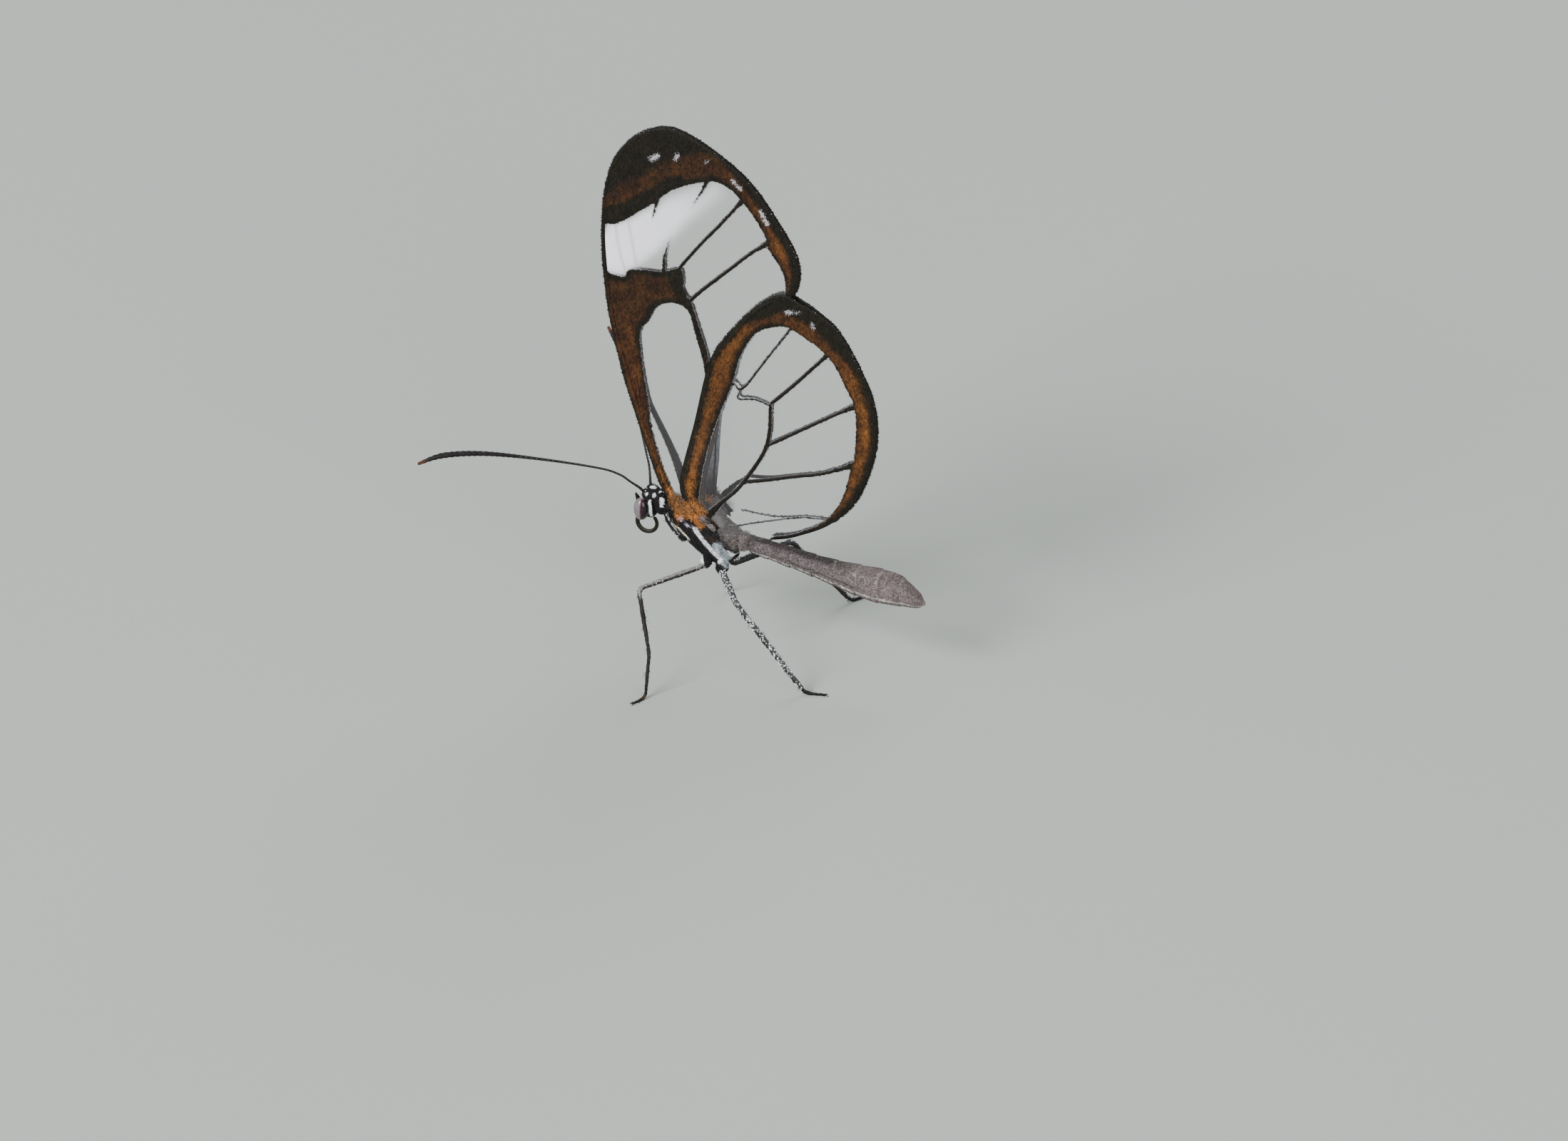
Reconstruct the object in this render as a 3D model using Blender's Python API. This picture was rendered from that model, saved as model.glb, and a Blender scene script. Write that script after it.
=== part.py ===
"""A glasswing butterfly at rest with closed wings, life size, as closed solids.

The head points to -X, the tail to +X and the left side to -Y. The feet stand on z = 0.
Sizes are in millimetres here and become metres where each mesh is made.
"""

import math

import bmesh
import bpy
from mathutils import Vector
from mathutils.geometry import delaunay_2d_cdt

for leftover in list(bpy.data.objects):
    bpy.data.objects.remove(leftover, do_unlink=True)

# Scale and place of the whole model
MM = 0.001
ORIGIN_SHIFT = Vector((1.74, -0.52, 0.0))

# Gaps between nodes
GAP = 0.28
EYE_GAP = 0.2
PALP_GAP = 0.14

# Roundness of the body sections, bulge of closed ends as a share of the radius there
OVAL_POWER = 2.3
BODY_END_BULGE = 0.25
TUBE_END_BULGE = 0.6
SMOOTH_ANGLE = math.radians(40)

# Points round each section, and stretches between two given sections
THORAX_SIDES = 28
HEAD_SIDES = 24
ABDOMEN_SIDES = 20
EYE_SIDES = 20
EYE_ROWS = 10
LIMB_SIDES = 12
FEELER_SIDES = 10
BODY_STEPS = 3
CUTTER_STEPS = 2
ABDOMEN_STEPS = 4
PALP_STEPS = 3
FEELER_STEPS = 4

# Wings: half spacing of each pair, sheet thickness, layer step, and spread at the roots
WING_MIDDLE = 0.45
WING_THICKNESS = 0.5
LAYER_STEP = WING_THICKNESS + GAP
LAYER_CLEAR = 0.35
LAYER_FALL = 1.8
VEIN_OUTER = 0.16
VEIN_INNER = 0.06
VEIN_WIDTH = 0.55
WING_GRID = 1.35
WING_GRID_CLEAR = 0.5
RIM_STEPS = 4
VEIN_STEPS = 3
WELD = 0.03

FORE_ROOT = (-1.8, 8.6)
FORE_ROOT_REACH = 4.0
FORE_ROOT_SPREAD = 0.45
HIND_ROOT = (0.2, 7.8)
HIND_ROOT_REACH = 3.5
HIND_ROOT_SPREAD = 0.65

# Forewing outline (x, z), from the front of the root round the tip to the back of the root
FORE_OUTLINE = (
    (-2.7, 9.3), (-4.5, 13.3), (-5.7, 16.8), (-6.7, 20.6), (-7.2, 25.0), (-6.8, 29.0),
    (-5.5, 31.6), (-3.4, 33.0), (-1.2, 32.5), (1.6, 30.4), (3.6, 27.6), (4.6, 25.3),
    (4.5, 23.4), (2.3, 21.0), (0.5, 17.1), (-0.1, 12.4), (-0.5, 9.2), (-1.0, 7.8), (-2.5, 7.8),
)
FORE_VEINS = (
    ((-2.4, 9.9), (-3.6, 13.1), (-4.6, 16.6), (-5.5, 19.8), (-6.1, 23.1), (-6.3, 26.7), (-5.6, 29.8)),
    ((-1.9, 9.9), (-1.1, 12.2), (-0.7, 15.1), (-1.0, 17.8), (-1.9, 21.8)),
    ((-5.3, 19.6), (-4.3, 21.2), (-1.9, 21.8)),
    ((-6.0, 23.2), (-4.0, 23.2), (-2.2, 23.7), (-1.9, 21.8)),
    ((-2.2, 23.7), (-1.6, 25.4), (1.2, 29.0)),
    ((-1.9, 21.8), (0.4, 24.3), (3.1, 27.0)),
    ((-1.6, 20.4), (1.2, 22.5), (3.9, 24.5)),
    ((-4.0, 23.2), (-3.0, 25.6), (-0.9, 29.2), (0.1, 30.9)),
)

# Hindwing outline (x, z), from the front of the root along the leading edge and back
HIND_OUTLINE = (
    (-2.0, 10.5), (-1.5, 14.3), (-0.8, 18.1), (0.2, 20.0), (1.9, 22.4), (3.6, 23.9),
    (5.5, 23.5), (7.0, 21.8), (8.3, 19.4), (9.2, 17.0), (9.2, 14.1), (8.0, 11.0),
    (6.3, 9.1), (4.0, 7.9), (2.1, 7.8), (1.1, 7.75), (0.1, 7.75), (-0.8, 8.4), (-1.5, 9.3),
)
HIND_VEINS = (
    ((-0.6, 8.9), (-1.2, 10.5), (-0.9, 14.1), (-0.2, 17.2), (1.0, 20.0), (2.8, 22.3), (4.9, 22.9)),
    ((0.2, 9.2), (1.3, 11.0), (2.6, 13.5), (2.8, 16.1), (4.6, 18.2), (7.0, 20.9)),
    ((1.3, 11.0), (4.3, 11.8), (8.4, 13.5)),
    ((2.6, 13.5), (5.4, 15.3), (8.5, 17.4)),
    ((2.8, 16.1), (2.0, 16.5), (1.2, 17.0)),
    ((-0.1, 14.7), (1.2, 17.0), (2.9, 19.5), (5.0, 22.2)),
    ((0.7, 8.6), (1.9, 9.0), (4.3, 9.6), (6.7, 10.1)),
)

# Upright oval sections (x, z low, z high, half width) of the head and trunk
HEAD_SECTIONS = (
    (-4.68, 7.95, 8.9, 0.42), (-4.52, 7.65, 9.2, 0.76), (-4.25, 7.5, 9.35, 0.92),
    (-4.05, 7.6, 9.25, 0.82), (-3.93, 7.85, 9.0, 0.55),
)
THORAX_SECTIONS = (
    (-3.4, 7.8, 8.45, 0.4), (-3.1, 7.45, 8.75, 0.72), (-2.5, 6.95, 9.0, 1.05), (-1.6, 6.15, 9.05, 1.25),
    (-0.6, 5.45, 8.7, 1.3), (0.1, 5.35, 8.15, 1.15), (0.7, 6.0, 7.65, 0.85), (1.05, 6.55, 7.35, 0.5),
)
ABDOMEN_SECTIONS = (
    (1.35, 6.5, 7.2, 0.34), (2.2, 6.35, 7.25, 0.42), (3.5, 6.05, 7.1, 0.5), (5.0, 5.7, 6.9, 0.57),
    (6.5, 5.3, 6.75, 0.68), (8.0, 4.9, 6.7, 0.86), (9.2, 4.7, 6.7, 0.94), (10.3, 4.75, 6.65, 0.9),
    (11.3, 4.85, 6.25, 0.68), (11.8, 5.0, 5.8, 0.4),
)
ABDOMEN_RINGS = 8
ABDOMEN_RING_RISE = 0.05

# Eyes: centre on the left side and half sizes
EYE_CENTRE = Vector((-4.58, -0.88, 8.4))
EYE_HALF = Vector((0.44, 0.38, 0.68))

# Mouth parts
PALP_PATH = ((-4.8, -0.36, 7.75), (-4.98, -0.37, 8.15), (-5.03, -0.35, 8.65), (-4.95, -0.32, 9.2))
PALP_RADII = (0.2, 0.2, 0.17, 0.09)
COIL_CENTRE = Vector((-4.5, 0.0, 7.0))
COIL_RADIUS = 0.52
COIL_START = math.radians(145.0)
COIL_END = math.radians(395.0)
COIL_TUBE = 0.24
COIL_TIP = 0.15
COIL_POINTS = 14

# Feelers
LEFT_FEELER = (
    (-4.6, -0.5, 9.1), (-5.2, -1.0, 10.1), (-5.7, -1.3, 10.6), (-6.6, -2.0, 11.2),
    (-9.1, -3.6, 12.1), (-12.0, -5.4, 12.9), (-14.1, -6.6, 13.2), (-15.3, -7.4, 12.7),
)
RIGHT_FEELER = (
    (-4.6, 0.5, 9.1), (-4.9, 1.3, 9.8), (-5.4, 2.2, 10.1), (-6.4, 4.0, 10.6),
    (-7.7, 6.1, 11.7), (-8.9, 7.8, 12.8), (-10.1, 8.8, 13.8),
)
FEELER_RADII = (0.25, 0.25, 0.25, 0.25, 0.27, 0.28, 0.12)

# Legs: joints from the root in the trunk to the claw, and the radius at each joint
LEFT_MIDLEG = (
    (-0.6, -0.5, 6.1), (-0.8, -1.1, 5.6), (-3.5, -4.25, 5.3), (-2.2, -6.1, 2.4), (-2.1, -7.0, 0.22),
    (-2.5, -7.75, 0.22),
)
RIGHT_MIDLEG = (
    (-0.6, 0.5, 6.1), (-0.8, 1.1, 5.6), (-3.2, 3.9, 5.2), (-2.2, 5.1, 2.3), (-1.8, 5.7, 0.22),
    (-1.8, 6.5, 0.22),
)
LEFT_HINDLEG = (
    (0.1, -0.5, 6.0), (0.3, -1.1, 5.4), (2.0, -3.5, 5.0), (5.6, -3.6, 0.75), (6.1, -3.5, 0.22),
    (7.1, -3.3, 0.22),
)
RIGHT_HINDLEG = (
    (0.1, 0.4, 5.6), (0.25, 0.8, 4.85), (2.7, 3.5, 5.4), (4.7, 6.6, 0.75), (5.0, 7.0, 0.22),
    (5.6, 7.8, 0.22),
)
LEG_RADII = (0.3, 0.3, 0.26, 0.26, 0.26, 0.2)
LEG_BEND = 0.6
BEND_SHARE = 0.45
BEND_STEPS = 4
LEFT_FORELEG = ((-2.1, -0.7, 7.1), (-2.4, -1.25, 7.35), (-2.95, -1.2, 8.0), (-3.15, -1.05, 8.4))
FORELEG_RADII = (0.26, 0.26, 0.24, 0.12)

# Colours (linear red, green, blue) and roughness
SCALES_BLACK = (0.02, 0.018, 0.018)
BROWN_GREY = (0.16, 0.13, 0.12)
EYE_MAUVE = (0.16, 0.1, 0.11)
WING_CLEAR = (0.55, 0.6, 0.52)
DARK_BROWN = (0.05, 0.035, 0.03)
LEG_GREY = (0.08, 0.075, 0.07)


def blend(first, second, third, fourth, t):
    """Point at t between the second and third of four points, on a Catmull-Rom curve."""
    return 0.5 * (
        2 * second
        + (third - first) * t
        + (2 * first - 5 * second + 4 * third - fourth) * t * t
        + (3 * second - first - 3 * third + fourth) * t ** 3
    )


def smooth_path(points, steps, closed=False):
    """Smooth curve through the points, with steps stretches between two neighbours."""
    points = [Vector(point) for point in points]
    count = len(points)
    path = []
    for index in range(count if closed else count - 1):
        if closed:
            four = [points[(index + k - 1) % count] for k in range(4)]
        else:
            four = [points[min(max(index + k - 1, 0), count - 1)] for k in range(4)]
        path += [blend(*four, step / steps) for step in range(steps)]
    if not closed:
        path.append(points[-1])
    return path


def smooth_step(t):
    """Soft change from 0 to 1 as t goes from 0 to 1."""
    t = min(max(t, 0.0), 1.0)
    return t * t * (3.0 - 2.0 * t)


def line_distance(point, line):
    """Distance from a flat point to an open line of points."""
    best = math.inf
    for start, end in zip(line, line[1:]):
        along = end - start
        t = (point - start).dot(along) / along.length_squared
        best = min(best, (point - start - along * min(max(t, 0.0), 1.0)).length)
    return best


def is_inside(point, rim):
    """Whether a flat point lies inside a closed rim."""
    inside = False
    for start, end in zip(rim, rim[1:] + rim[:1]):
        if (start.y > point.y) != (end.y > point.y):
            crossing = start.x + (end.x - start.x) * (point.y - start.y) / (end.y - start.y)
            inside ^= point.x < crossing
    return inside


def rim_distance(point, rim):
    """Distance to a closed rim, negative inside it."""
    distance = line_distance(point, rim + rim[:1])
    return -distance if is_inside(point, rim) else distance


# Places of the wing sheets across the body
FORE_RIM = smooth_path(FORE_OUTLINE, RIM_STEPS, closed=True)


def root_spread(point, root, reach):
    """Share of the spread that a wing has near its root."""
    return smooth_step(1.0 - (point - Vector(root)).length / reach)


def fore_middle(point):
    """Distance of the forewing sheet from the middle plane."""
    return WING_MIDDLE + FORE_ROOT_SPREAD * root_spread(point, FORE_ROOT, FORE_ROOT_REACH)


def hind_overlap(point):
    """1 where the hindwing lies over the forewing, falling to 0 beyond its edge."""
    return smooth_step(1.0 - (rim_distance(point, FORE_RIM) - LAYER_CLEAR) / LAYER_FALL)


def hind_middle(point):
    """Distance of the hindwing sheet from the middle plane."""
    over = hind_overlap(point)
    behind = WING_MIDDLE + HIND_ROOT_SPREAD * root_spread(point, HIND_ROOT, HIND_ROOT_REACH)
    return over * (fore_middle(point) + LAYER_STEP) + (1.0 - over) * behind


def no_overlap(_point):
    """The forewing lies over nothing."""
    return 0.0


def wing_shape(side, outline, veins, middle, overlap):
    """Thin closed sheet with raised veins, split into the same triangles on both faces."""
    rim = smooth_path(outline, RIM_STEPS, closed=True)
    points = list(rim)
    edges = [(i, (i + 1) % len(rim)) for i in range(len(rim))]
    vein_lines = [smooth_path(vein, VEIN_STEPS) for vein in veins]
    for line in vein_lines:
        ends = [line[0]] + line + [line[-1]]
        sideways = []
        for before, after in zip(ends, ends[2:]):
            along = (after - before).normalized()
            sideways.append(Vector((-along.y, along.x)) * VEIN_WIDTH / 2)
        for offset in (-1, 0, 1):
            start = len(points)
            points += [point + across * offset for point, across in zip(line, sideways)]
            edges += [(i, i + 1) for i in range(start, len(points) - 1)]
    low_x = min(point.x for point in rim)
    low_z = min(point.y for point in rim)
    columns = int((max(point.x for point in rim) - low_x) / WING_GRID) + 1
    rows = int((max(point.y for point in rim) - low_z) / WING_GRID) + 1
    for row in range(rows):
        for column in range(columns):
            shift = 0.5 * (row % 2)
            point = Vector((low_x + (column + shift) * WING_GRID, low_z + row * WING_GRID))
            if rim_distance(point, rim) > -WING_GRID_CLEAR:
                continue
            if min(line_distance(point, line) for line in vein_lines) < WING_GRID_CLEAR + VEIN_WIDTH / 2:
                continue
            points.append(point)
    flat = delaunay_2d_cdt(points, edges, [list(range(len(rim)))], 1, WELD)
    flat_points = [Vector(point) for point in flat[0]]
    triangles = [list(face) for face in flat[2]]
    outer = []
    inner = []
    for point in flat_points:
        rise = max(1.0 - line_distance(point, line) / (VEIN_WIDTH / 2) for line in vein_lines)
        rise = max(rise, 0.0)
        centre = middle(point)
        outside = centre + WING_THICKNESS / 2 + VEIN_OUTER * rise
        inside = centre - WING_THICKNESS / 2 - VEIN_INNER * rise * (1.0 - overlap(point))
        outer.append((point.x, side * outside, point.y))
        inner.append((point.x, side * inside, point.y))
    count = len(flat_points)
    faces = list(triangles)
    faces += [[index + count for index in reversed(face)] for face in triangles]
    used = {(a, b) for face in triangles for a, b in zip(face, face[1:] + face[:1])}
    for a, b in used:
        if (b, a) not in used:
            faces.append([b, a, a + count])
            faces.append([b, a + count, b + count])
    return outer + inner, faces


def oval_ring(x, low, high, half_width, sides, power):
    """Upright ring of points at x, an oval with fuller corners for a higher power."""
    centre = (low + high) / 2
    half_height = (high - low) / 2
    ring = []
    for index in range(sides):
        turn = 2 * math.pi * index / sides
        across = math.copysign(abs(math.cos(turn)) ** (2 / power), math.cos(turn))
        upward = math.copysign(abs(math.sin(turn)) ** (2 / power), math.sin(turn))
        ring.append((x, half_width * across, centre + half_height * upward))
    return ring


def close_rings(rings, start_pole, end_pole):
    """Closed body from rings of points, with a point at each end."""
    sides = len(rings[0])
    points = [point for ring in rings for point in ring]
    faces = []
    for row in range(len(rings) - 1):
        for index in range(sides):
            a = row * sides + index
            b = row * sides + (index + 1) % sides
            faces.append([a, b, b + sides, a + sides])
    points += [start_pole, end_pole]
    last = (len(rings) - 1) * sides
    for index in range(sides):
        following = (index + 1) % sides
        faces.append([following, index, len(points) - 2])
        faces.append([last + index, last + following, len(points) - 1])
    return points, faces


def body_shape(sections, sides, steps, grow=0.0, rise=None):
    """Closed body through upright ovals along X, swollen all round by grow."""
    rows = smooth_path([Vector(section) for section in sections], steps)
    first = rows[0].x
    length = rows[-1].x - first
    rings = []
    for row in rows:
        swell = grow + (rise(row.x) if rise else 0.0)
        x = row.x + grow * (2 * (row.x - first) / length - 1)
        rings.append(oval_ring(x, row.y - swell, row.z + swell, row.w + swell, sides, OVAL_POWER))
    ends = []
    for row, outward in ((rows[0], -1), (rows[-1], 1)):
        bulge = BODY_END_BULGE * row.w
        ends.append((row.x + outward * (grow + bulge), 0.0, (row.y + row.z) / 2))
    return close_rings(rings, *ends)


def ball_shape(centre, half, grow=0.0):
    """Closed ellipsoid with its poles across the body."""
    size = [value + grow for value in half]
    rings = []
    for row in range(1, EYE_ROWS):
        lean = math.pi * row / EYE_ROWS
        ring = []
        for index in range(EYE_SIDES):
            turn = 2 * math.pi * index / EYE_SIDES
            ring.append((
                centre[0] + size[0] * math.sin(lean) * math.cos(turn),
                centre[1] - size[1] * math.cos(lean),
                centre[2] + size[2] * math.sin(lean) * math.sin(turn),
            ))
        rings.append(ring)
    poles = [(centre[0], centre[1] + size[1] * outward, centre[2]) for outward in (-1, 1)]
    return close_rings(rings, *poles)


def tube_shape(points, radii, sides, floor=None):
    """Round tube along the points with a radius for each, cut flat at the floor height."""
    path = [Vector(point) for point in points]
    ends = [path[0]] + path + [path[-1]]
    tangents = [(after - before).normalized() for before, after in zip(ends, ends[2:])]
    across = tangents[0].orthogonal().normalized()
    rings = []
    for point, tangent, radius in zip(path, tangents, radii):
        across = (across - tangent * across.dot(tangent)).normalized()
        upward = tangent.cross(across)
        ring = []
        for index in range(sides):
            turn = 2 * math.pi * index / sides
            ring.append(point + radius * (across * math.cos(turn) + upward * math.sin(turn)))
        rings.append(ring)
    poles = [
        path[0] - tangents[0] * radii[0] * TUBE_END_BULGE,
        path[-1] + tangents[-1] * radii[-1] * TUBE_END_BULGE,
    ]
    if floor is not None:
        for point in [point for ring in rings for point in ring] + poles:
            point.z = max(point.z, floor)
    return close_rings(rings, *poles)


def bent_path(joints, radii):
    """Straight stretches between the joints with a soft bend at each, and radii along them."""
    joints = [Vector(joint) for joint in joints]
    path = [joints[0]]
    sizes = [radii[0]]
    for before, joint, after, radius in zip(joints, joints[1:], joints[2:], radii[1:]):
        shorter = min((joint - before).length, (after - joint).length)
        reach = min(LEG_BEND, shorter * BEND_SHARE)
        start = joint + (before - joint).normalized() * reach
        end = joint + (after - joint).normalized() * reach
        for step in range(BEND_STEPS + 1):
            t = step / BEND_STEPS
            path.append(start.lerp(joint, t).lerp(joint.lerp(end, t), t))
            sizes.append(radius)
    path.append(joints[-1])
    sizes.append(radii[-1])
    return path, sizes


def mirrored(points):
    """The same points on the right side of the body."""
    return [(x, -y, z) for x, y, z in points]


def make_material(name, colour, roughness, alpha=1.0):
    """Plain surface for one node."""
    material = bpy.data.materials.new(name)
    material.use_nodes = True
    shader = material.node_tree.nodes["Principled BSDF"]
    shader.inputs["Base Color"].default_value = (*colour, 1.0)
    shader.inputs["Roughness"].default_value = roughness
    shader.inputs["Metallic"].default_value = 0.0
    shader.inputs["Alpha"].default_value = alpha
    return material


def make_object(name, shape):
    """Object from points in millimetres and faces, with its faces pointing out."""
    points, faces = shape
    mesh = bpy.data.meshes.new(name)
    places = [(Vector(point) + ORIGIN_SHIFT) * MM for point in points]
    mesh.from_pydata(places, [], faces)
    work = bmesh.new()
    work.from_mesh(mesh)
    bmesh.ops.recalc_face_normals(work, faces=work.faces)
    if work.calc_volume(signed=True) < 0:
        bmesh.ops.reverse_faces(work, faces=work.faces)
    work.to_mesh(mesh)
    work.free()
    made = bpy.data.objects.new(name, mesh)
    bpy.context.scene.collection.objects.link(made)
    return made


def keep_largest(mesh):
    """Leave only the closed surface with the most volume."""
    work = bmesh.new()
    work.from_mesh(mesh)
    unseen = set(work.faces)
    groups = []
    while unseen:
        group = {unseen.pop()}
        front = list(group)
        while front:
            face = front.pop()
            for edge in face.edges:
                for other in edge.link_faces:
                    if other in unseen:
                        unseen.discard(other)
                        group.add(other)
                        front.append(other)
        groups.append(group)
    groups.sort(key=lambda group: sum(face.calc_area() for face in group))
    for group in groups[:-1]:
        bmesh.ops.delete(work, geom=list(group), context="FACES")
    work.to_mesh(mesh)
    work.free()


def cut_away(made, shapes):
    """Cut the shapes out of the object."""
    for shape in shapes:
        cutter = make_object("cutter", shape)
        cutter.hide_render = True
        cutter.display_type = "WIRE"
        cut = made.modifiers.new("cut", "BOOLEAN")
        cut.operation = "DIFFERENCE"
        cut.solver = "EXACT"
        cut.object = cutter
        graph = bpy.context.evaluated_depsgraph_get()
        result = bpy.data.meshes.new_from_object(made.evaluated_get(graph))
        made.modifiers.clear()
        made.data = result
        bpy.data.objects.remove(cutter, do_unlink=True)
    keep_largest(made.data)


def make_node(name, shape, colour, roughness, cuts=(), alpha=1.0):
    """One finished sub-part."""
    made = make_object(name, shape)
    cut_away(made, cuts)
    made.data.name = name
    made.data.materials.clear()
    made.data.materials.append(make_material(name, colour, roughness, alpha))
    made.data.shade_smooth()
    made.data.set_sharp_from_angle(angle=SMOOTH_ANGLE)
    return made


def mirrored_centre(centre, side):
    """An eye's centre on the side asked for, -1 for left."""
    return Vector((centre.x, centre.y * -side, centre.z))


def ring_rise(x):
    """Small steps where the abdomen's rings lie over one another."""
    start = ABDOMEN_SECTIONS[0][0]
    length = ABDOMEN_SECTIONS[-1][0] - start
    along = (x - start) / length * ABDOMEN_RINGS
    return ABDOMEN_RING_RISE * (along - math.floor(along) - 0.5)


# Trunk
thorax_cutter = body_shape(THORAX_SECTIONS, THORAX_SIDES, CUTTER_STEPS, grow=GAP)
head_cutter = body_shape(HEAD_SECTIONS, HEAD_SIDES, CUTTER_STEPS, grow=GAP)
make_node("thorax", body_shape(THORAX_SECTIONS, THORAX_SIDES, BODY_STEPS), SCALES_BLACK, 0.8)
abdomen_shape = body_shape(ABDOMEN_SECTIONS, ABDOMEN_SIDES, ABDOMEN_STEPS, rise=ring_rise)
make_node("abdomen", abdomen_shape, BROWN_GREY, 0.7)

# Head with a socket for each eye
eye_cutters = []
for side in (-1, 1):
    eye_cutters.append(ball_shape(mirrored_centre(EYE_CENTRE, side), EYE_HALF, EYE_GAP))
make_node("head", body_shape(HEAD_SECTIONS, HEAD_SIDES, BODY_STEPS), SCALES_BLACK, 0.8, eye_cutters)
for side, word in ((-1, "left"), (1, "right")):
    eye = ball_shape(mirrored_centre(EYE_CENTRE, side), EYE_HALF)
    make_node("eye_" + word, eye, EYE_MAUVE, 0.15)

# Palps and the coiled proboscis
palp_cutters = [body_shape(HEAD_SECTIONS, HEAD_SIDES, CUTTER_STEPS, grow=PALP_GAP)]
for side in (-1, 1):
    palp_cutters.append(ball_shape(mirrored_centre(EYE_CENTRE, side), EYE_HALF, PALP_GAP))
for side, word in ((-1, "left"), (1, "right")):
    joints = PALP_PATH if side < 0 else mirrored(PALP_PATH)
    path = smooth_path(joints, PALP_STEPS)
    radii = [size.x for size in smooth_path([(radius, 0.0) for radius in PALP_RADII], PALP_STEPS)]
    make_node("palp_" + word, tube_shape(path, radii, LIMB_SIDES), DARK_BROWN, 0.8, palp_cutters)

coil = []
coil_radii = []
for index in range(COIL_POINTS):
    t = index / (COIL_POINTS - 1)
    turn = COIL_START + (COIL_END - COIL_START) * t
    coil.append(COIL_CENTRE + COIL_RADIUS * Vector((math.cos(turn), 0.0, math.sin(turn))))
    coil_radii.append(COIL_TUBE + (COIL_TIP - COIL_TUBE) * t)
make_node("proboscis", tube_shape(coil, coil_radii, LIMB_SIDES), DARK_BROWN, 0.5, [head_cutter])

# Feelers
for word, joints in (("left", LEFT_FEELER), ("right", RIGHT_FEELER)):
    path = smooth_path(joints, FEELER_STEPS)
    sizes = smooth_path([(radius, 0.0) for radius in FEELER_RADII], 2 * FEELER_STEPS)
    radii = [sizes[round(i * (len(sizes) - 1) / (len(path) - 1))].x for i in range(len(path))]
    make_node("antenna_" + word, tube_shape(path, radii, FEELER_SIDES), DARK_BROWN, 0.6, [head_cutter])

# Wings
for side, word in ((-1, "left"), (1, "right")):
    fore = wing_shape(side, FORE_OUTLINE, FORE_VEINS, fore_middle, no_overlap)
    make_node("forewing_" + word, fore, WING_CLEAR, 0.3, [thorax_cutter], alpha=0.35)
    hind = wing_shape(side, HIND_OUTLINE, HIND_VEINS, hind_middle, hind_overlap)
    make_node("hindwing_" + word, hind, WING_CLEAR, 0.3, [thorax_cutter], alpha=0.35)

# Legs, standing on their last joints; the small front pair is folded against the trunk
for name, joints in (
    ("midleg_left", LEFT_MIDLEG),
    ("midleg_right", RIGHT_MIDLEG),
    ("hindleg_left", LEFT_HINDLEG),
    ("hindleg_right", RIGHT_HINDLEG),
):
    path, radii = bent_path(joints, LEG_RADII)
    make_node(name, tube_shape(path, radii, LIMB_SIDES, floor=0.0), LEG_GREY, 0.6, [thorax_cutter])
for side, word in ((-1, "left"), (1, "right")):
    joints = LEFT_FORELEG if side < 0 else mirrored(LEFT_FORELEG)
    path, radii = bent_path(joints, FORELEG_RADII)
    make_node("foreleg_" + word, tube_shape(path, radii, LIMB_SIDES), LEG_GREY, 0.6, [thorax_cutter])
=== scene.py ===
"""Looks of the glasswing butterfly: wings, skin, coat, eyes, mouth parts, legs and stage.

Sizes are in millimetres, before the model is centred and made metres by hand_over.
The head points to -X, the left side is -Y and the feet stand on z = 0.
"""

import math

import bpy
import numpy as np
from mathutils import Matrix, Vector
from mathutils.geometry import delaunay_2d_cdt


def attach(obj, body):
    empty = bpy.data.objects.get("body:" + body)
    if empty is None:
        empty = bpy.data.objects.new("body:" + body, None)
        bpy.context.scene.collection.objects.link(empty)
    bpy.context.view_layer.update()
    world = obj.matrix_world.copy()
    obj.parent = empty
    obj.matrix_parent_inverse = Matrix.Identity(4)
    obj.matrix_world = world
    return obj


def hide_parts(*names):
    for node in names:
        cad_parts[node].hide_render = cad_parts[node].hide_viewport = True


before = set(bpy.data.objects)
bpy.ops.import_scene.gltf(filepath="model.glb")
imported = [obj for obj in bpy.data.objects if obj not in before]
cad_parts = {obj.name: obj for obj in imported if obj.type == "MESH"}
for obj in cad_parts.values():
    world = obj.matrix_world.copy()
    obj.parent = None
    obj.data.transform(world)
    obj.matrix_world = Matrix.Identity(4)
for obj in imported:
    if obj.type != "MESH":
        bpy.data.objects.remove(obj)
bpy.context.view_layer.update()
bpy.ops.object.select_all(action="DESELECT")

# Scale and place of the whole model, as in the solids
MM = 0.001
ORIGIN_SHIFT = Vector((1.74, -0.52, 0.0))
BODY = "root"

# Both sides of the animal, and how near to each other points are merged
SIDES = ((-1, "left"), (1, "right"))
MERGE = 0.0005

# Camera: the photograph's direction and its 25.2 pixels a millimetre
PHOTO_WIDTH = 2198
PIXELS_PER_MM = 25.2
CAMERA_TURN = math.radians(20)
CAMERA_RISE = math.radians(30)
CAMERA_AWAY = 1.2
SENSOR = 36.0
CAMERA_TARGET = Vector((3.55, 0.0, 5.56))

# Floor, sky and lights: name, place, size and power
FLOOR_SIZE = 6.0
FLOOR_DARK = (0.285, 0.31, 0.285)
FLOOR_PALE = (0.31, 0.335, 0.31)
SKY_COLOUR = (0.9, 0.93, 0.95, 1.0)
SKY_STRENGTH = 0.6
LIGHTS = (
    ("key_light", (-0.45, -0.8, 0.7), 0.5, 24.0),
    ("fill_light", (0.75, -0.7, 0.45), 0.7, 8.0),
    ("back_light", (0.1, 0.8, 0.6), 0.6, 6.0),
)

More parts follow.
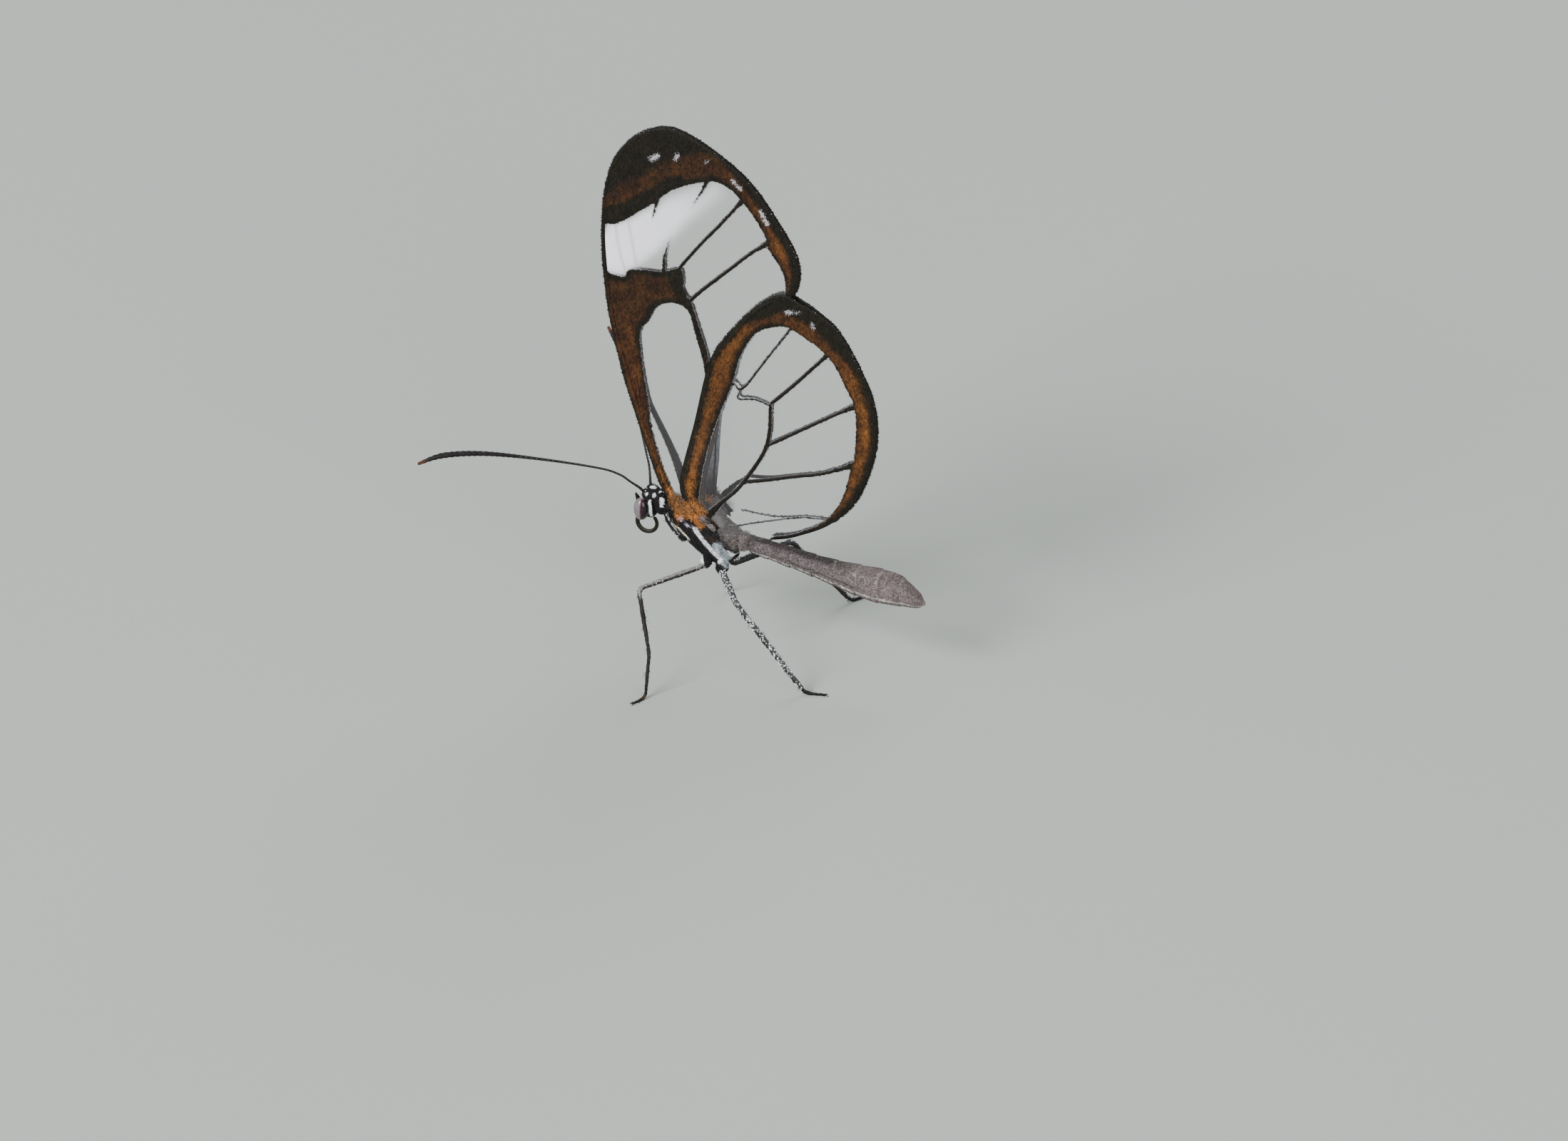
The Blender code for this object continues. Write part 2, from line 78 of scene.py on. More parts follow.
# Wing sheets: distance from the middle plane, front edge turned outwards, step of the layers, grid
SHEET_REST = 0.11
ROOT_SPREAD = 1.15
SPREAD_POWER = 2.6
WIDEST = 0.95
FORE_FALL = 4.3
HIND_FALL = 2.9
COSTA_POINTS = 8
COSTA_FROM = 9.4
COSTA_FALL = 5.0
COSTA_REACH = 0.9
COSTA_WIDER = 0.2
WING_ROOT = (-0.9, 8.6)
SHEET_STEP = 0.1
SHEET_THICKNESS = 0.045
BAND_THICKNESS = 0.04
RIPPLE = 0.012
LAYER_CLEAR = 0.35
LAYER_FALL = 1.8
WING_GRID = 0.11
RIM_STEPS = 20
WINDOW_STEPS = 5

# Values at each point of a wing, and looks that both pairs share
WING_VALUES = ("clear", "rust", "hue", "spot", "silver")
CLEAR_COLUMN, RUST_COLUMN, SILVER_COLUMN = 0, 1, 4
WING_SCALE_STRETCH = (1.0, 1.0, 0.55)
BAND_ROUGHNESS = 0.6
WINDOW_SMOOTHER = -0.35
FINEST_VEIN = 0.045
WIDE_VEIN = 0.115
INNER_GLOOM = 0.4
SILVER_LINE = ((-1.2, 9.0), (-1.0, 13.0), (-0.2, 17.0), (1.0, 19.5))

# Forewing (x, z): outline from the front of the root round the tip, windows, dark apex and veins
FORE_OUTLINE = (
    (-2.85, 9.0), (-3.42, 10.5), (-4.18, 12.55), (-5.1, 14.85), (-5.85, 16.9), (-6.78, 20.6),
    (-7.15, 25.0), (-6.75, 28.9), (-5.5, 31.2), (-3.5, 32.38), (-1.45, 31.88), (1.35, 30.0), (3.3, 27.45),
    (4.4, 25.3), (4.2, 23.3), (2.3, 21.0), (0.35, 17.1), (-0.5, 12.4), (-0.85, 9.2), (-1.1, 7.8),
    (-2.5, 7.8),
)
FORE_CELL = (
    (-2.5, 9.7), (-3.33, 11.7), (-4.05, 13.6), (-4.4, 15.0), (-4.8, 17.5), (-4.9, 18.9),
    (-4.75, 19.6), (-4.4, 20.0), (-3.9, 21.0), (-3.2, 21.4), (-2.5, 21.4), (-2.0, 21.0),
    (-1.5, 19.6), (-0.9, 17.7), (-0.7, 15.0), (-1.0, 12.2), (-1.6, 9.9), (-2.2, 9.3),
)
FORE_OUTER_WINDOW = (
    (-7.0, 25.6), (-7.05, 24.2), (-6.9, 23.0), (-6.5, 22.6), (-5.8, 22.6), (-5.6, 23.0), (-4.9, 23.2),
    (-3.6, 23.3), (-2.9, 23.6), (-2.4, 23.6), (-2.3, 23.0), (-2.3, 22.3), (-1.9, 21.7), (-1.3, 19.9),
    (-0.75, 17.7), (-0.68, 14.1), (-0.95, 11.4), (-1.1, 9.6), (-1.02, 9.4), (-0.68, 12.0), (0.1, 16.8),
    (1.2, 19.0), (2.6, 21.5), (3.5, 22.6), (3.7, 23.8), (3.4, 24.9), (2.7, 25.9), (2.45, 26.8),
    (1.6, 28.1), (0.6, 29.2), (-0.4, 29.6), (-1.2, 29.4), (-2.0, 29.1), (-3.1, 28.5), (-4.0, 27.6),
    (-4.9, 26.9), (-5.7, 26.2), (-6.4, 25.8),
)
FORE_DARK_TIP = (
    (-9.0, 26.8), (-7.1, 27.3), (-6.2, 28.1), (-4.3, 29.4), (-3.0, 30.4), (-1.4, 31.2), (-0.4, 31.0),
    (1.0, 31.6), (1.0, 36.0), (-9.0, 36.0),
)
FORE_VEINS = (
    (0.11, ((-1.9, 9.3), (-1.3, 11.7), (-0.9, 14.1), (-0.85, 15.9), (-1.0, 17.7),
            (-1.6, 20.0), (-2.0, 21.7))),
    (0.09, ((-2.9, 23.2), (-2.3, 24.1), (-1.2, 25.6), (-0.1, 27.0), (1.3, 28.9))),
    (0.1, ((-2.0, 21.7), (-1.2, 22.6), (0.3, 24.1), (1.6, 25.4), (2.9, 26.5))),
    (0.08, ((-1.0, 9.4), (-0.75, 12.3), (-0.38, 14.2), (0.0, 16.6), (0.5, 18.4))),
)
FORE_SPIKES = (
    (0.13, ((-3.5, 23.0), (-3.45, 24.2), (-3.2, 25.4))),
    (0.14, ((-3.75, 28.3), (-3.95, 27.4), (-4.15, 26.5))),
    (0.13, ((-0.75, 29.9), (-1.25, 28.8), (-1.9, 27.6))),
)
FORE_RIDGES = (
    (0.12, ((-2.8, 9.3), (-3.32, 10.6), (-4.1, 12.7), (-5.62, 16.9), (-6.6, 20.6), (-7.02, 25.0),
            (-6.68, 28.8), (-5.35, 31.2))),
    (0.08, ((-2.72, 9.8), (-3.72, 12.1), (-4.65, 14.5), (-5.35, 17.6), (-5.8, 21.0), (-6.2, 22.4))),
    (0.07, ((-5.2, 19.6), (-4.2, 21.7), (-2.0, 21.7))),
    (0.07, ((-6.0, 21.6), (-4.3, 22.6), (-2.9, 23.2), (-2.0, 21.7))),
    (0.06, ((-6.9, 26.5), (-5.0, 28.6), (-2.35, 30.8), (-1.6, 31.55))),
    (0.06, ((-3.9, 27.9), (-2.2, 29.7), (-0.5, 31.05))),
)
FORE_SPOTS = (
    (0.16, (-4.2, 30.3), (-3.85, 30.6)),
    (0.11, (-2.75, 30.6), (-2.65, 30.85)),
    (0.04, (-1.05, 30.6), (-0.85, 30.85)),
    (0.11, (0.6, 29.85), (1.05, 29.4)),
    (0.13, (2.25, 28.2), (2.6, 27.5)),
)
WHITE_LINE = ((-7.4, 24.0), (-6.5, 24.1), (-4.8, 25.3), (-2.7, 27.3), (-0.6, 28.9))
FAINT_VEINS = (((-6.35, 25.9), (-6.1, 24.2), (-5.7, 22.8)), ((-5.6, 26.2), (-5.3, 24.6), (-5.1, 23.4)))
FORE_JUNCTION = ((-2.6, 23.2), (-2.2, 22.4), (-1.75, 21.4))
APEX_EDGE = ((-7.2, 26.2), (-5.5, 26.9), (-4.2, 27.9), (-2.6, 29.1))
GREY_STRIP = ((-1.05, 9.0), (-0.68, 13.0), (0.0, 16.8))

# Hindwing (x, z)
HIND_OUTLINE = (
    (-2.22, 10.5), (-1.6, 14.3), (-0.8, 18.1), (0.2, 19.95), (1.9, 22.1), (3.4, 23.2),
    (4.6, 22.85), (5.9, 22.15), (6.8, 21.35), (8.0, 19.3), (8.9, 16.95), (8.95, 14.15), (7.95, 11.05),
    (6.35, 9.15), (4.4, 8.0), (3.3, 7.62), (2.2, 7.5), (1.1, 7.55), (0.1, 7.75), (-0.8, 8.4), (-1.65, 9.3),
)
HIND_WINDOW = (
    (-1.08, 9.6), (-0.95, 11.2), (-0.58, 13.5), (0.0, 15.4), (0.6, 17.1), (1.0, 18.7), (1.6, 20.0),
    (2.2, 20.7), (3.1, 21.15), (3.9, 21.2), (4.75, 20.75), (5.55, 20.3), (6.2, 19.75), (6.8, 18.95),
    (7.2, 18.1), (7.6, 17.3), (7.8, 16.5), (7.85, 15.6), (7.8, 14.5), (7.7, 13.5), (7.45, 12.5),
    (7.2, 11.4), (6.8, 10.4), (6.2, 9.5), (5.4, 8.8), (4.3, 8.18), (3.2, 7.8), (2.2, 7.65), (1.2, 7.7),
    (0.5, 8.0), (-0.1, 8.4), (-0.5, 8.9),
)
HIND_VEINS = (
    (0.12, ((-0.4, 9.0), (0.3, 9.9), (1.3, 11.0), (2.6, 13.5), (2.8, 16.0))),
    (0.11, ((1.3, 11.0), (2.7, 11.3), (4.3, 11.8), (5.9, 12.3), (7.9, 13.3))),
    (0.1, ((2.7, 13.5), (4.6, 14.8), (6.5, 16.1), (8.2, 17.2))),
    (0.1, ((2.8, 16.1), (4.1, 17.5), (5.4, 19.0), (6.7, 20.5))),
    (0.05, ((2.8, 16.0), (1.9, 16.25), (0.95, 16.15), (1.0, 16.7), (0.6, 17.1))),
    (0.06, ((1.0, 16.7), (1.4, 17.1), (2.1, 18.2), (2.8, 19.3), (4.3, 21.6))),
    (0.042, ((0.7, 8.35), (3.0, 8.8), (4.7, 9.25), (6.4, 9.4))),
)
HIND_RIDGES = (
    (0.13, ((-1.92, 10.6), (-1.4, 14.3), (-0.6, 18.0), (0.4, 19.8), (2.0, 21.95), (3.4, 23.0))),
    (0.09, ((-1.2, 9.4), (-1.25, 11.4), (-0.85, 14.0), (-0.2, 16.4), (0.5, 18.8),
            (1.5, 20.8), (3.2, 21.8))),
)
HIND_SPOTS = (
    (0.14, (3.8, 22.2), (4.05, 22.25)),
    (0.06, (4.3, 22.3), (4.6, 22.3)),
    (0.1, (5.25, 21.7), (5.32, 21.45)),
)
PALE_STREAK = ((8.35, 14.6), (8.45, 15.8), (8.35, 16.8))
HIND_HAIR = (-0.2, 8.5)

# Upright oval sections (x, z low, z high, half width) of the head and trunk, as in the solids
HEAD_SECTIONS = (
    (-4.68, 7.95, 8.9, 0.42), (-4.52, 7.65, 9.2, 0.76), (-4.25, 7.5, 9.35, 0.92),
    (-4.05, 7.6, 9.25, 0.82), (-3.93, 7.85, 9.0, 0.55),
)
THORAX_SECTIONS = (
    (-3.4, 7.8, 8.45, 0.4), (-3.1, 7.45, 8.75, 0.72), (-2.5, 6.95, 9.0, 1.05), (-1.6, 6.15, 9.05, 1.25),
    (-0.6, 5.45, 8.7, 1.3), (0.1, 5.35, 8.15, 1.15), (0.7, 6.0, 7.65, 0.85), (1.05, 6.55, 7.35, 0.5),
)
ABDOMEN_SECTIONS = (
    (1.2, 6.45, 7.4, 0.42), (2.2, 6.25, 7.35, 0.5), (3.5, 5.98, 7.18, 0.54), (5.0, 5.66, 6.95, 0.6),
    (6.5, 5.28, 6.78, 0.7), (8.0, 4.9, 6.72, 0.86), (9.2, 4.7, 6.7, 0.92), (10.3, 4.72, 6.5, 0.84),
    (11.2, 4.74, 5.9, 0.58), (11.9, 4.82, 5.25, 0.24),
)
ABDOMEN_START = 1.35
RING_LENGTH = 1.31
RING_RISE = 0.05
RINGS_FROM = 1.6
ROUNDED_END = 0.35
SKIN_VOXEL = 0.05
THORAX_FURROWS = (((-2.95, 9.0), (-2.65, 7.3)), ((-1.75, 8.6), (-0.75, 5.7)), ((-0.3, 8.7), (0.35, 6.2)))
FURROW_DEPTH = 0.06
FURROW_WIDTH = 0.07

# Forms under the skin: sections with room for the coat, balls in the middle, tilted balls on both sides
SKIN_FORMS = (
    ("skin", HEAD_SECTIONS, 0.06), ("thorax_form", THORAX_SECTIONS, 0.12),
    ("abdomen_form", ABDOMEN_SECTIONS, 0.05),
)
SKIN_BALLS = (
    ("neck", (-3.68, 0.0, 8.57), (0.46, 0.58, 0.76)),
    ("crown", (-4.2, 0.0, 8.93), (0.42, 0.62, 0.48)),
    ("waist", (1.1, 0.0, 6.95), (0.6, 0.5, 0.5)),
    ("brow", (-4.62, 0.0, 8.75), (0.3, 0.42, 0.42)),
    ("mouth_base", (-4.55, 0.0, 7.75), (0.32, 0.4, 0.25)),
)
SKIN_PAIRS = (
    ("mid_hip", (-0.72, 0.85, 5.95), (0.3, 0.34, 0.5), 0.5),
    ("hind_hip", (0.2, 0.85, 5.72), (0.34, 0.36, 0.5), 0.4),
    ("fore_hip", (-2.15, 0.75, 7.15), (0.25, 0.28, 0.36), 0.0),
    ("fore_wing_root", (-1.95, 0.82, 8.85), (0.5, 0.26, 0.36), 0.0),
    ("hind_wing_root", (-1.0, 0.9, 8.55), (0.45, 0.28, 0.32), 0.0),
    ("collar", (-3.0, 0.4, 8.55), (0.3, 0.35, 0.3), 0.0),
    ("feeler_socket", (-4.55, 0.42, 9.05), (0.16, 0.16, 0.16), 0.0),
)

# Unwrap of the body: middle line (x, z), start and length; spacing of the wings' fringe
BODY_MIDDLE = ((-4.6, 8.4), (-1.5, 7.7), (0.5, 6.8), (11.8, 5.5))
BODY_START = -5.2
BODY_LENGTH = 17.4
FRINGE_SPACING = 0.035

# Eyes and mouth parts
EYE_CENTRE = (-4.58, -0.88, 8.4)
EYE_HALF = (0.44, 0.38, 0.68)
EYE_ROOM = (0.5, 0.45, 0.75)
# Steps along the eye from front to back: painted mauve-grey reflection, then the eye's own dark maroon,
# then black
EYE_SHEEN_AND_TONE_STEPS = ((-0.1, 0.05), (0.06, 0.18), (0.26, 0.36))
PALP_PATH = ((-4.6, -0.36, 7.75), (-4.95, -0.37, 8.05), (-5.08, -0.15, 8.45), (-5.24, -0.06, 8.82))
PALP_RADII = (0.14, 0.15, 0.075, 0.025)
PALP_DARK_FROM = 8.3
COIL_CENTRE = (-4.54, 0.0, 7.08)
COIL_RADIUS = 0.6
COIL_START = math.radians(130)
COIL_END = math.radians(400)
COIL_RADII = (0.13, 0.125, 0.1)

# Feelers
LEFT_FEELER = (
    (-4.5, -0.42, 8.9), (-4.68, -0.46, 9.37), (-5.2, -1.0, 10.1), (-5.7, -1.3, 10.6), (-6.6, -2.0, 11.2),
    (-9.1, -3.6, 12.1), (-12.0, -5.4, 12.9), (-14.1, -6.6, 13.03), (-15.3, -7.4, 12.7),
)
RIGHT_FEELER = (
    (-4.5, 0.42, 8.9), (-4.9, 1.3, 9.8), (-5.4, 2.2, 10.1), (-6.4, 4.0, 10.6),
    (-7.7, 6.1, 11.7), (-8.9, 7.8, 12.8), (-10.1, 8.8, 13.8),
)
FEELER_RADII = (0.09, 0.065, 0.062, 0.065, 0.072, 0.085, 0.105, 0.13, 0.155, 0.165, 0.09)
FEELER_SEGMENTS = 44

# Legs: joints from the trunk to the claw and the radius at each
LEGS = {
    "midleg_left": ((-0.6, -0.5, 6.1), (-0.8, -1.1, 5.6), (-3.5, -4.25, 5.3), (-2.2, -6.1, 2.4),
                    (-2.1, -7.0, 0.08), (-2.5, -7.75, 0.07)),
    "midleg_right": ((-0.6, 0.5, 6.1), (-0.8, 1.1, 5.6), (-3.2, 3.9, 5.2), (-2.2, 5.1, 2.3),
                     (-1.8, 5.7, 0.08), (-2.05, 6.35, 0.07)),
    "hindleg_left": ((0.1, -0.5, 6.0), (0.3, -1.1, 5.4), (2.0, -3.5, 5.0), (5.6, -3.6, 0.75),
                     (6.1, -3.5, 0.09), (7.1, -3.3, 0.07)),
    "hindleg_right": ((0.1, 0.4, 5.6), (0.25, 0.8, 4.95), (2.7, 3.5, 5.4), (4.7, 6.6, 0.75),
                      (5.0, 7.0, 0.09), (5.6, 7.8, 0.07)),
    "foreleg_left": ((-2.1, -0.7, 7.1), (-2.4, -1.15, 7.35), (-2.95, -1.1, 8.0), (-3.2, -0.95, 8.4)),
    "foreleg_right": ((-2.1, 0.7, 7.1), (-2.4, 1.15, 7.35), (-2.95, 1.1, 8.0), (-3.2, 0.95, 8.4)),
}
LEG_RADII = {
    "mid": (0.2, 0.13, 0.11, 0.085, 0.07, 0.05),
    "hind": (0.22, 0.17, 0.14, 0.12, 0.085, 0.055),
    "fore": (0.1, 0.07, 0.055, 0.035),
}
CLAW_RADII = (0.03, 0.024, 0.01)

# Scales of the legs: count, share of pale ones and how far along the leg those go
LEG_SCALES = {"mid": (1900, 0.14, 0.45), "hind": (2600, 0.28, 0.8), "fore": (500, 0.1, 0.45)}

# Colours (linear red, green, blue)
BLACK = (0.0035, 0.003, 0.004)
SOFT_BLACK = (0.008, 0.0065, 0.007)
OLIVE_BLACK = (0.011, 0.009, 0.004)
RED_BROWN = (0.034, 0.013, 0.0055)
ORANGE = (0.14, 0.052, 0.012)
BRIGHT_ORANGE = (0.42, 0.155, 0.04)
FUZZ_ORANGE = (0.28, 0.12, 0.04)
CREAM = (0.6, 0.56, 0.46)
WHITE = (0.88, 0.87, 0.92)
BLUE_GREY = (0.29, 0.33, 0.36)
BROWN_GREY = (0.14, 0.12, 0.112)
SILVER = (0.27, 0.28, 0.31)
MAUVE_GREY = (0.105, 0.086, 0.087)
PALE_MAUVE = (0.15, 0.118, 0.118)
DARK_BROWN = (0.02, 0.012, 0.01)
SPECK_GREY = (0.34, 0.33, 0.35)
FAINT_PINK = (0.5, 0.42, 0.5)
VEIL_GREY = (0.2, 0.19, 0.21)
HAIR_GREY = (0.12, 0.1, 0.095)
INNER_HAIR = (0.11, 0.1, 0.098)
PALE_HAIR = (0.2, 0.18, 0.17)
# Painted reflection on the front of the eyes, grey and lilac
EYE_SHEEN_GREY = (0.12, 0.11, 0.11)
EYE_SHEEN_LILAC = (0.15, 0.105, 0.135)
EYE_MAROON = (0.018, 0.004, 0.007)
DULL_LILAC = (0.42, 0.38, 0.5)
PEARL = (0.66, 0.65, 0.69)
DARK_TOP = (0.03, 0.025, 0.024)
PALE_LINE = (0.5, 0.48, 0.44)
UNDERSIDE = (0.13, 0.11, 0.1)
PALE_RING = (0.42, 0.37, 0.36)
# Proboscis stripes: the coil's olive tint, also standing in for a painted highlight
OLIVE_TINT_AND_HIGHLIGHT = (0.035, 0.036, 0.006)
CLUB_BROWN = (0.06, 0.02, 0.01)
RING_GREY = (0.09, 0.085, 0.08)
LEG_BROWN = (0.016, 0.013, 0.011)
LEG_GREY = (0.05, 0.05, 0.052)
LEG_PALE = (0.2, 0.19, 0.18)
LEG_RUST = (0.1, 0.04, 0.02)
SCALE_WHITE = (0.6, 0.6, 0.62)
CLEAR_TINT = (0.32, 0.31, 0.33)

# Opacity of the clear membrane, and the seed of all random draws
CLEAR_ALPHA = 0.04
SEED = 7


# Shape tools
def soft(t):
    """Soft change from 0 to 1 as t goes from 0 to 1."""
    t = np.clip(t, 0.0, 1.0)
    return t * t * (3.0 - 2.0 * t)


def smooth_curve(points, steps, closed=False):
    """Catmull-Rom curve through the points, with steps stretches between two neighbours."""
    points = np.array(points, dtype=float)
    count = len(points)
    last = count - 1
    curve = []
    for index in range(count if closed else last):
        around = range(index - 1, index + 3)
        a, b, c, d = [points[k % count if closed else min(max(k, 0), last)] for k in around]
        for step in range(steps):
            t = step / steps
            cubic = (3 * b - a - 3 * c + d) * t ** 3
            curve.append(0.5 * (2 * b + (c - a) * t + (2 * a - 5 * b + 4 * c - d) * t * t + cubic))
    if not closed:
        curve.append(points[-1])
    return np.array(curve)


def line_distance(points, line):
    """Distance of each point to a line of points, and how far along the line that is, 0 to 1."""
    best = np.full(len(points), np.inf)
    place = np.zeros(len(points))
    line = np.asarray(line, dtype=float)
    for index, (start, end) in enumerate(zip(line, line[1:])):
        along = end - start
        t = np.clip((points - start) @ along / max(along @ along, 1e-9), 0.0, 1.0)
        distance = np.linalg.norm(points - start - t[:, None] * along, axis=1)
        nearer = distance < best
        best = np.where(nearer, distance, best)
        place = np.where(nearer, (index + t) / (len(line) - 1), place)
    return best, place


def gap_to(points, line, steps=1):
    """Distance of each point to a line that is rounded with steps stretches between its points."""
    return line_distance(points, smooth_curve(line, steps))[0]


def depth_inside(points, rim):
    """Distance to a closed flat rim, positive inside and negative outside."""
    rim = np.asarray(rim, dtype=float)
    inside = np.zeros(len(points), dtype=bool)
    for start, end in zip(rim, np.roll(rim, -1, axis=0)):
        spans = (start[1] > points[:, 1]) != (end[1] > points[:, 1])
        rise = end[1] - start[1] if end[1] != start[1] else 1.0
        crossing = start[0] + (end[0] - start[0]) * (points[:, 1] - start[1]) / rise
        inside ^= spans & (points[:, 0] < crossing)
    distance, _ = line_distance(points, np.vstack([rim, rim[:1]]))
    return np.where(inside, distance, -distance)


def depth_in_window(flat, outline):
    """Distance to the rounded outline of a clear window, positive inside."""
    return depth_inside(flat, smooth_curve(outline, WINDOW_STEPS, closed=True))


def between(values, stops):
    """Value at 0 to 1 along evenly spaced stops."""
    return np.interp(values, np.linspace(0, 1, len(stops)), stops)


def run_lengths(line):
    """Length of a line from its start to each of its points."""
    return np.concatenate([[0], np.cumsum(np.linalg.norm(np.diff(line, axis=0), axis=1))])


def at_lengths(line, lengths):
    """Places on a line at lengths from its start."""
    run = run_lengths(line)
    return np.column_stack([np.interp(lengths, run, line[:, k]) for k in range(line.shape[1])])


def mirrored(places):
    """Places with all of them on the right side."""
    return np.column_stack([places[:, 0], np.abs(places[:, 1]), places[:, 2]])


def turn_share(across, upward):
    """Turn round the body or a leg as a share from 0 to 1."""
    return np.arctan2(across, upward) / (2 * math.pi) + 0.5


def unit(vectors):
    """Vectors of length 1."""
    return vectors / np.maximum(np.linalg.norm(vectors, axis=1), 1e-9)[:, None]


def all_same(row, count):
    """One colour or direction for each of count points."""
    return np.tile(row, (count, 1))


def blend_colour(colours, colour, weight):
    """Lay a colour over others by weight."""
    return colours + (np.array(colour) - colours) * weight[:, None]


def gathered(parts):
    """Join the arrays of several parts, kind by kind."""
    return [np.concatenate(kind) for kind in zip(*parts)]


# Piece tools
def mesh_piece(name, points, faces):
    """Object from arrays of points and faces, with its faces turned outwards."""
    mesh = bpy.data.meshes.new(name)
    mesh.from_pydata(np.asarray(points).tolist(), [], np.asarray(faces).tolist())
    mesh.update()
    piece = bpy.data.objects.new(name, mesh)
    bpy.context.scene.collection.objects.link(piece)
    face_out(piece)
    return piece


def only(piece):
    """Select one piece alone and make it active."""
    bpy.ops.object.select_all(action="DESELECT")
    piece.select_set(True)
    bpy.context.view_layer.objects.active = piece


def face_out(piece, merge=0.0):
    """Turn the faces of a piece outwards, after merging points that are nearer than merge."""
    only(piece)
    bpy.ops.object.mode_set(mode="EDIT")
    bpy.ops.mesh.select_all(action="SELECT")
    if merge:
        bpy.ops.mesh.remove_doubles(threshold=merge)
    bpy.ops.mesh.normals_make_consistent(inside=False)
    bpy.ops.object.mode_set(mode="OBJECT")


def joined(parts):
    """Join pieces into the first of them."""
    only(parts[0])
    for part in parts[1:]:
        part.select_set(True)
    bpy.ops.object.join()
    return parts[0]


def mesh_points(mesh, key="co"):
    """Places of a mesh's points, or with the key normal their outward directions."""
    values = np.empty(len(mesh.vertices) * 3)
    mesh.vertices.foreach_get(key, values)
    return values.reshape(-1, 3)


def set_points(mesh, places):
    """Move a mesh's points."""
    mesh.vertices.foreach_set("co", places.ravel())
    mesh.update()


def keep_on_floor(mesh):
    """Lift the points that reach below the floor onto it."""
    places = mesh_points(mesh)
    places[:, 2] = np.maximum(places[:, 2], 0.0)
    set_points(mesh, places)


def write_numbers(mesh, name, values):
    """Store one number a point."""
    attribute = mesh.attributes.new(name, "FLOAT", "POINT")
    attribute.data.foreach_set("value", np.asarray(values, dtype=np.float32))


def write_colours(mesh, name, colours, alpha=None):
    """Store one colour a point."""
    if alpha is None:
        alpha = np.ones(len(colours))
    attribute = mesh.attributes.new(name, "FLOAT_COLOR", "POINT")
    attribute.data.foreach_set("color", np.column_stack([colours, alpha]).astype(np.float32).ravel())


def apply_modifier(piece, kind, **settings):
    """Add a modifier and make its result the piece's own mesh."""
    only(piece)
    modifier = piece.modifiers.new(kind.lower(), kind)
    for key, value in settings.items():
        setattr(modifier, key, value)
    bpy.ops.object.modifier_apply(modifier=modifier.name)


def hand_over(piece, material, slot, *nodes):
    """Bring a piece from millimetres into the model's frame and let it stand for its nodes."""
    piece.data.transform(Matrix.Scale(MM, 4) @ Matrix.Translation(ORIGIN_SHIFT))
    piece.data.materials.clear()
    piece.data.materials.append(material)
    piece.data.shade_smooth()
    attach(piece, BODY)
    if nodes:
        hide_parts(*nodes)


def limb(name, path, radii, sides):
    """Round limb along a path, from a bevelled curve with a rounded tip at each end."""
    path = np.asarray(path, dtype=float)
    first = path[0] - path[1]
    last = path[-1] - path[-2]
    tip = path[0] + first / np.linalg.norm(first) * radii[0] * 0.8
    end = path[-1] + last / np.linalg.norm(last) * radii[-1] * 0.8
    path = np.vstack([tip, path, end])
    radii = [radii[0] * 0.35, *radii, radii[-1] * 0.35]
    bpy.ops.object.select_all(action="DESELECT")
    bpy.ops.curve.primitive_nurbs_path_add()
    piece = bpy.context.object
    piece.name = name
    spline = piece.data.splines[0]
    spline.points.add(len(path) - len(spline.points))
    for point, place, radius in zip(spline.points, path, radii):
        point.co = (*place, 1.0)
        point.radius = radius
    spline.type = "POLY"
    piece.data.bevel_depth = 1.0
    piece.data.bevel_resolution = sides // 2 - 2
    piece.data.use_fill_caps = True
    only(piece)
    bpy.ops.object.convert(target="MESH")
    face_out(piece, MERGE)
    piece.data.name = name
    return piece


def ball(name, centre, half, turn=(0.0, 0.0, 0.0), segments=32, rings=20):
    """Ellipsoid shaped from a sphere."""
    bpy.ops.object.select_all(action="DESELECT")
    bpy.ops.mesh.primitive_uv_sphere_add(
        segments=segments, ring_count=rings, location=centre, rotation=turn,
    )
    piece = bpy.context.object
    piece.name = name
    piece.scale = half
    bpy.ops.object.transform_apply(location=True, rotation=True, scale=True)
    piece.data.name = name
    return piece


# Shader tools
MIX_FACTOR, MIX_FIRST, MIX_SECOND, MIX_RESULT = 0, 6, 7, 2


def feed(tree, sockets, values):
    """Link another node's outputs to the sockets of the same key, or give them plain values."""
    for key, value in values.items():
        if isinstance(value, bpy.types.NodeSocket):
            tree.links.new(value, sockets[key])
        else:
            sockets[key].default_value = value


def add_node(tree, kind, inputs, **settings):
    """Node with its settings and inputs."""
    made = tree.nodes.new("ShaderNode" + kind)
    for key, value in settings.items():
        setattr(made, key, value)
    feed(tree, made.inputs, inputs)
    return made


def maths(tree, operation, first, second=0.0):
    """Result of one sum."""
    return add_node(tree, "Math", {0: first, 1: second}, operation=operation).outputs[0]


def swing(tree, value, reach):
    """A value round 0.5 as a change round 0, made larger or smaller by reach."""
    return maths(tree, "MULTIPLY", maths(tree, "SUBTRACT", value, 0.5), reach)


def step_between(tree, value, low, high):
    """Soft step from 0 at low to 1 at high."""
    limits = {"Value": value, "From Min": low, "From Max": high}
    return add_node(tree, "MapRange", limits, interpolation_type="SMOOTHSTEP").outputs["Result"]


def mixed(tree, factor, first, second, blend="MIX"):
    """Mix of two colours."""
    first, second = [(*c, 1.0) if isinstance(c, tuple) and len(c) == 3 else c for c in (first, second)]
    inputs = {MIX_FACTOR: factor, MIX_FIRST: first, MIX_SECOND: second}
    return add_node(tree, "Mix", inputs, data_type="RGBA", blend_type=blend).outputs[MIX_RESULT]


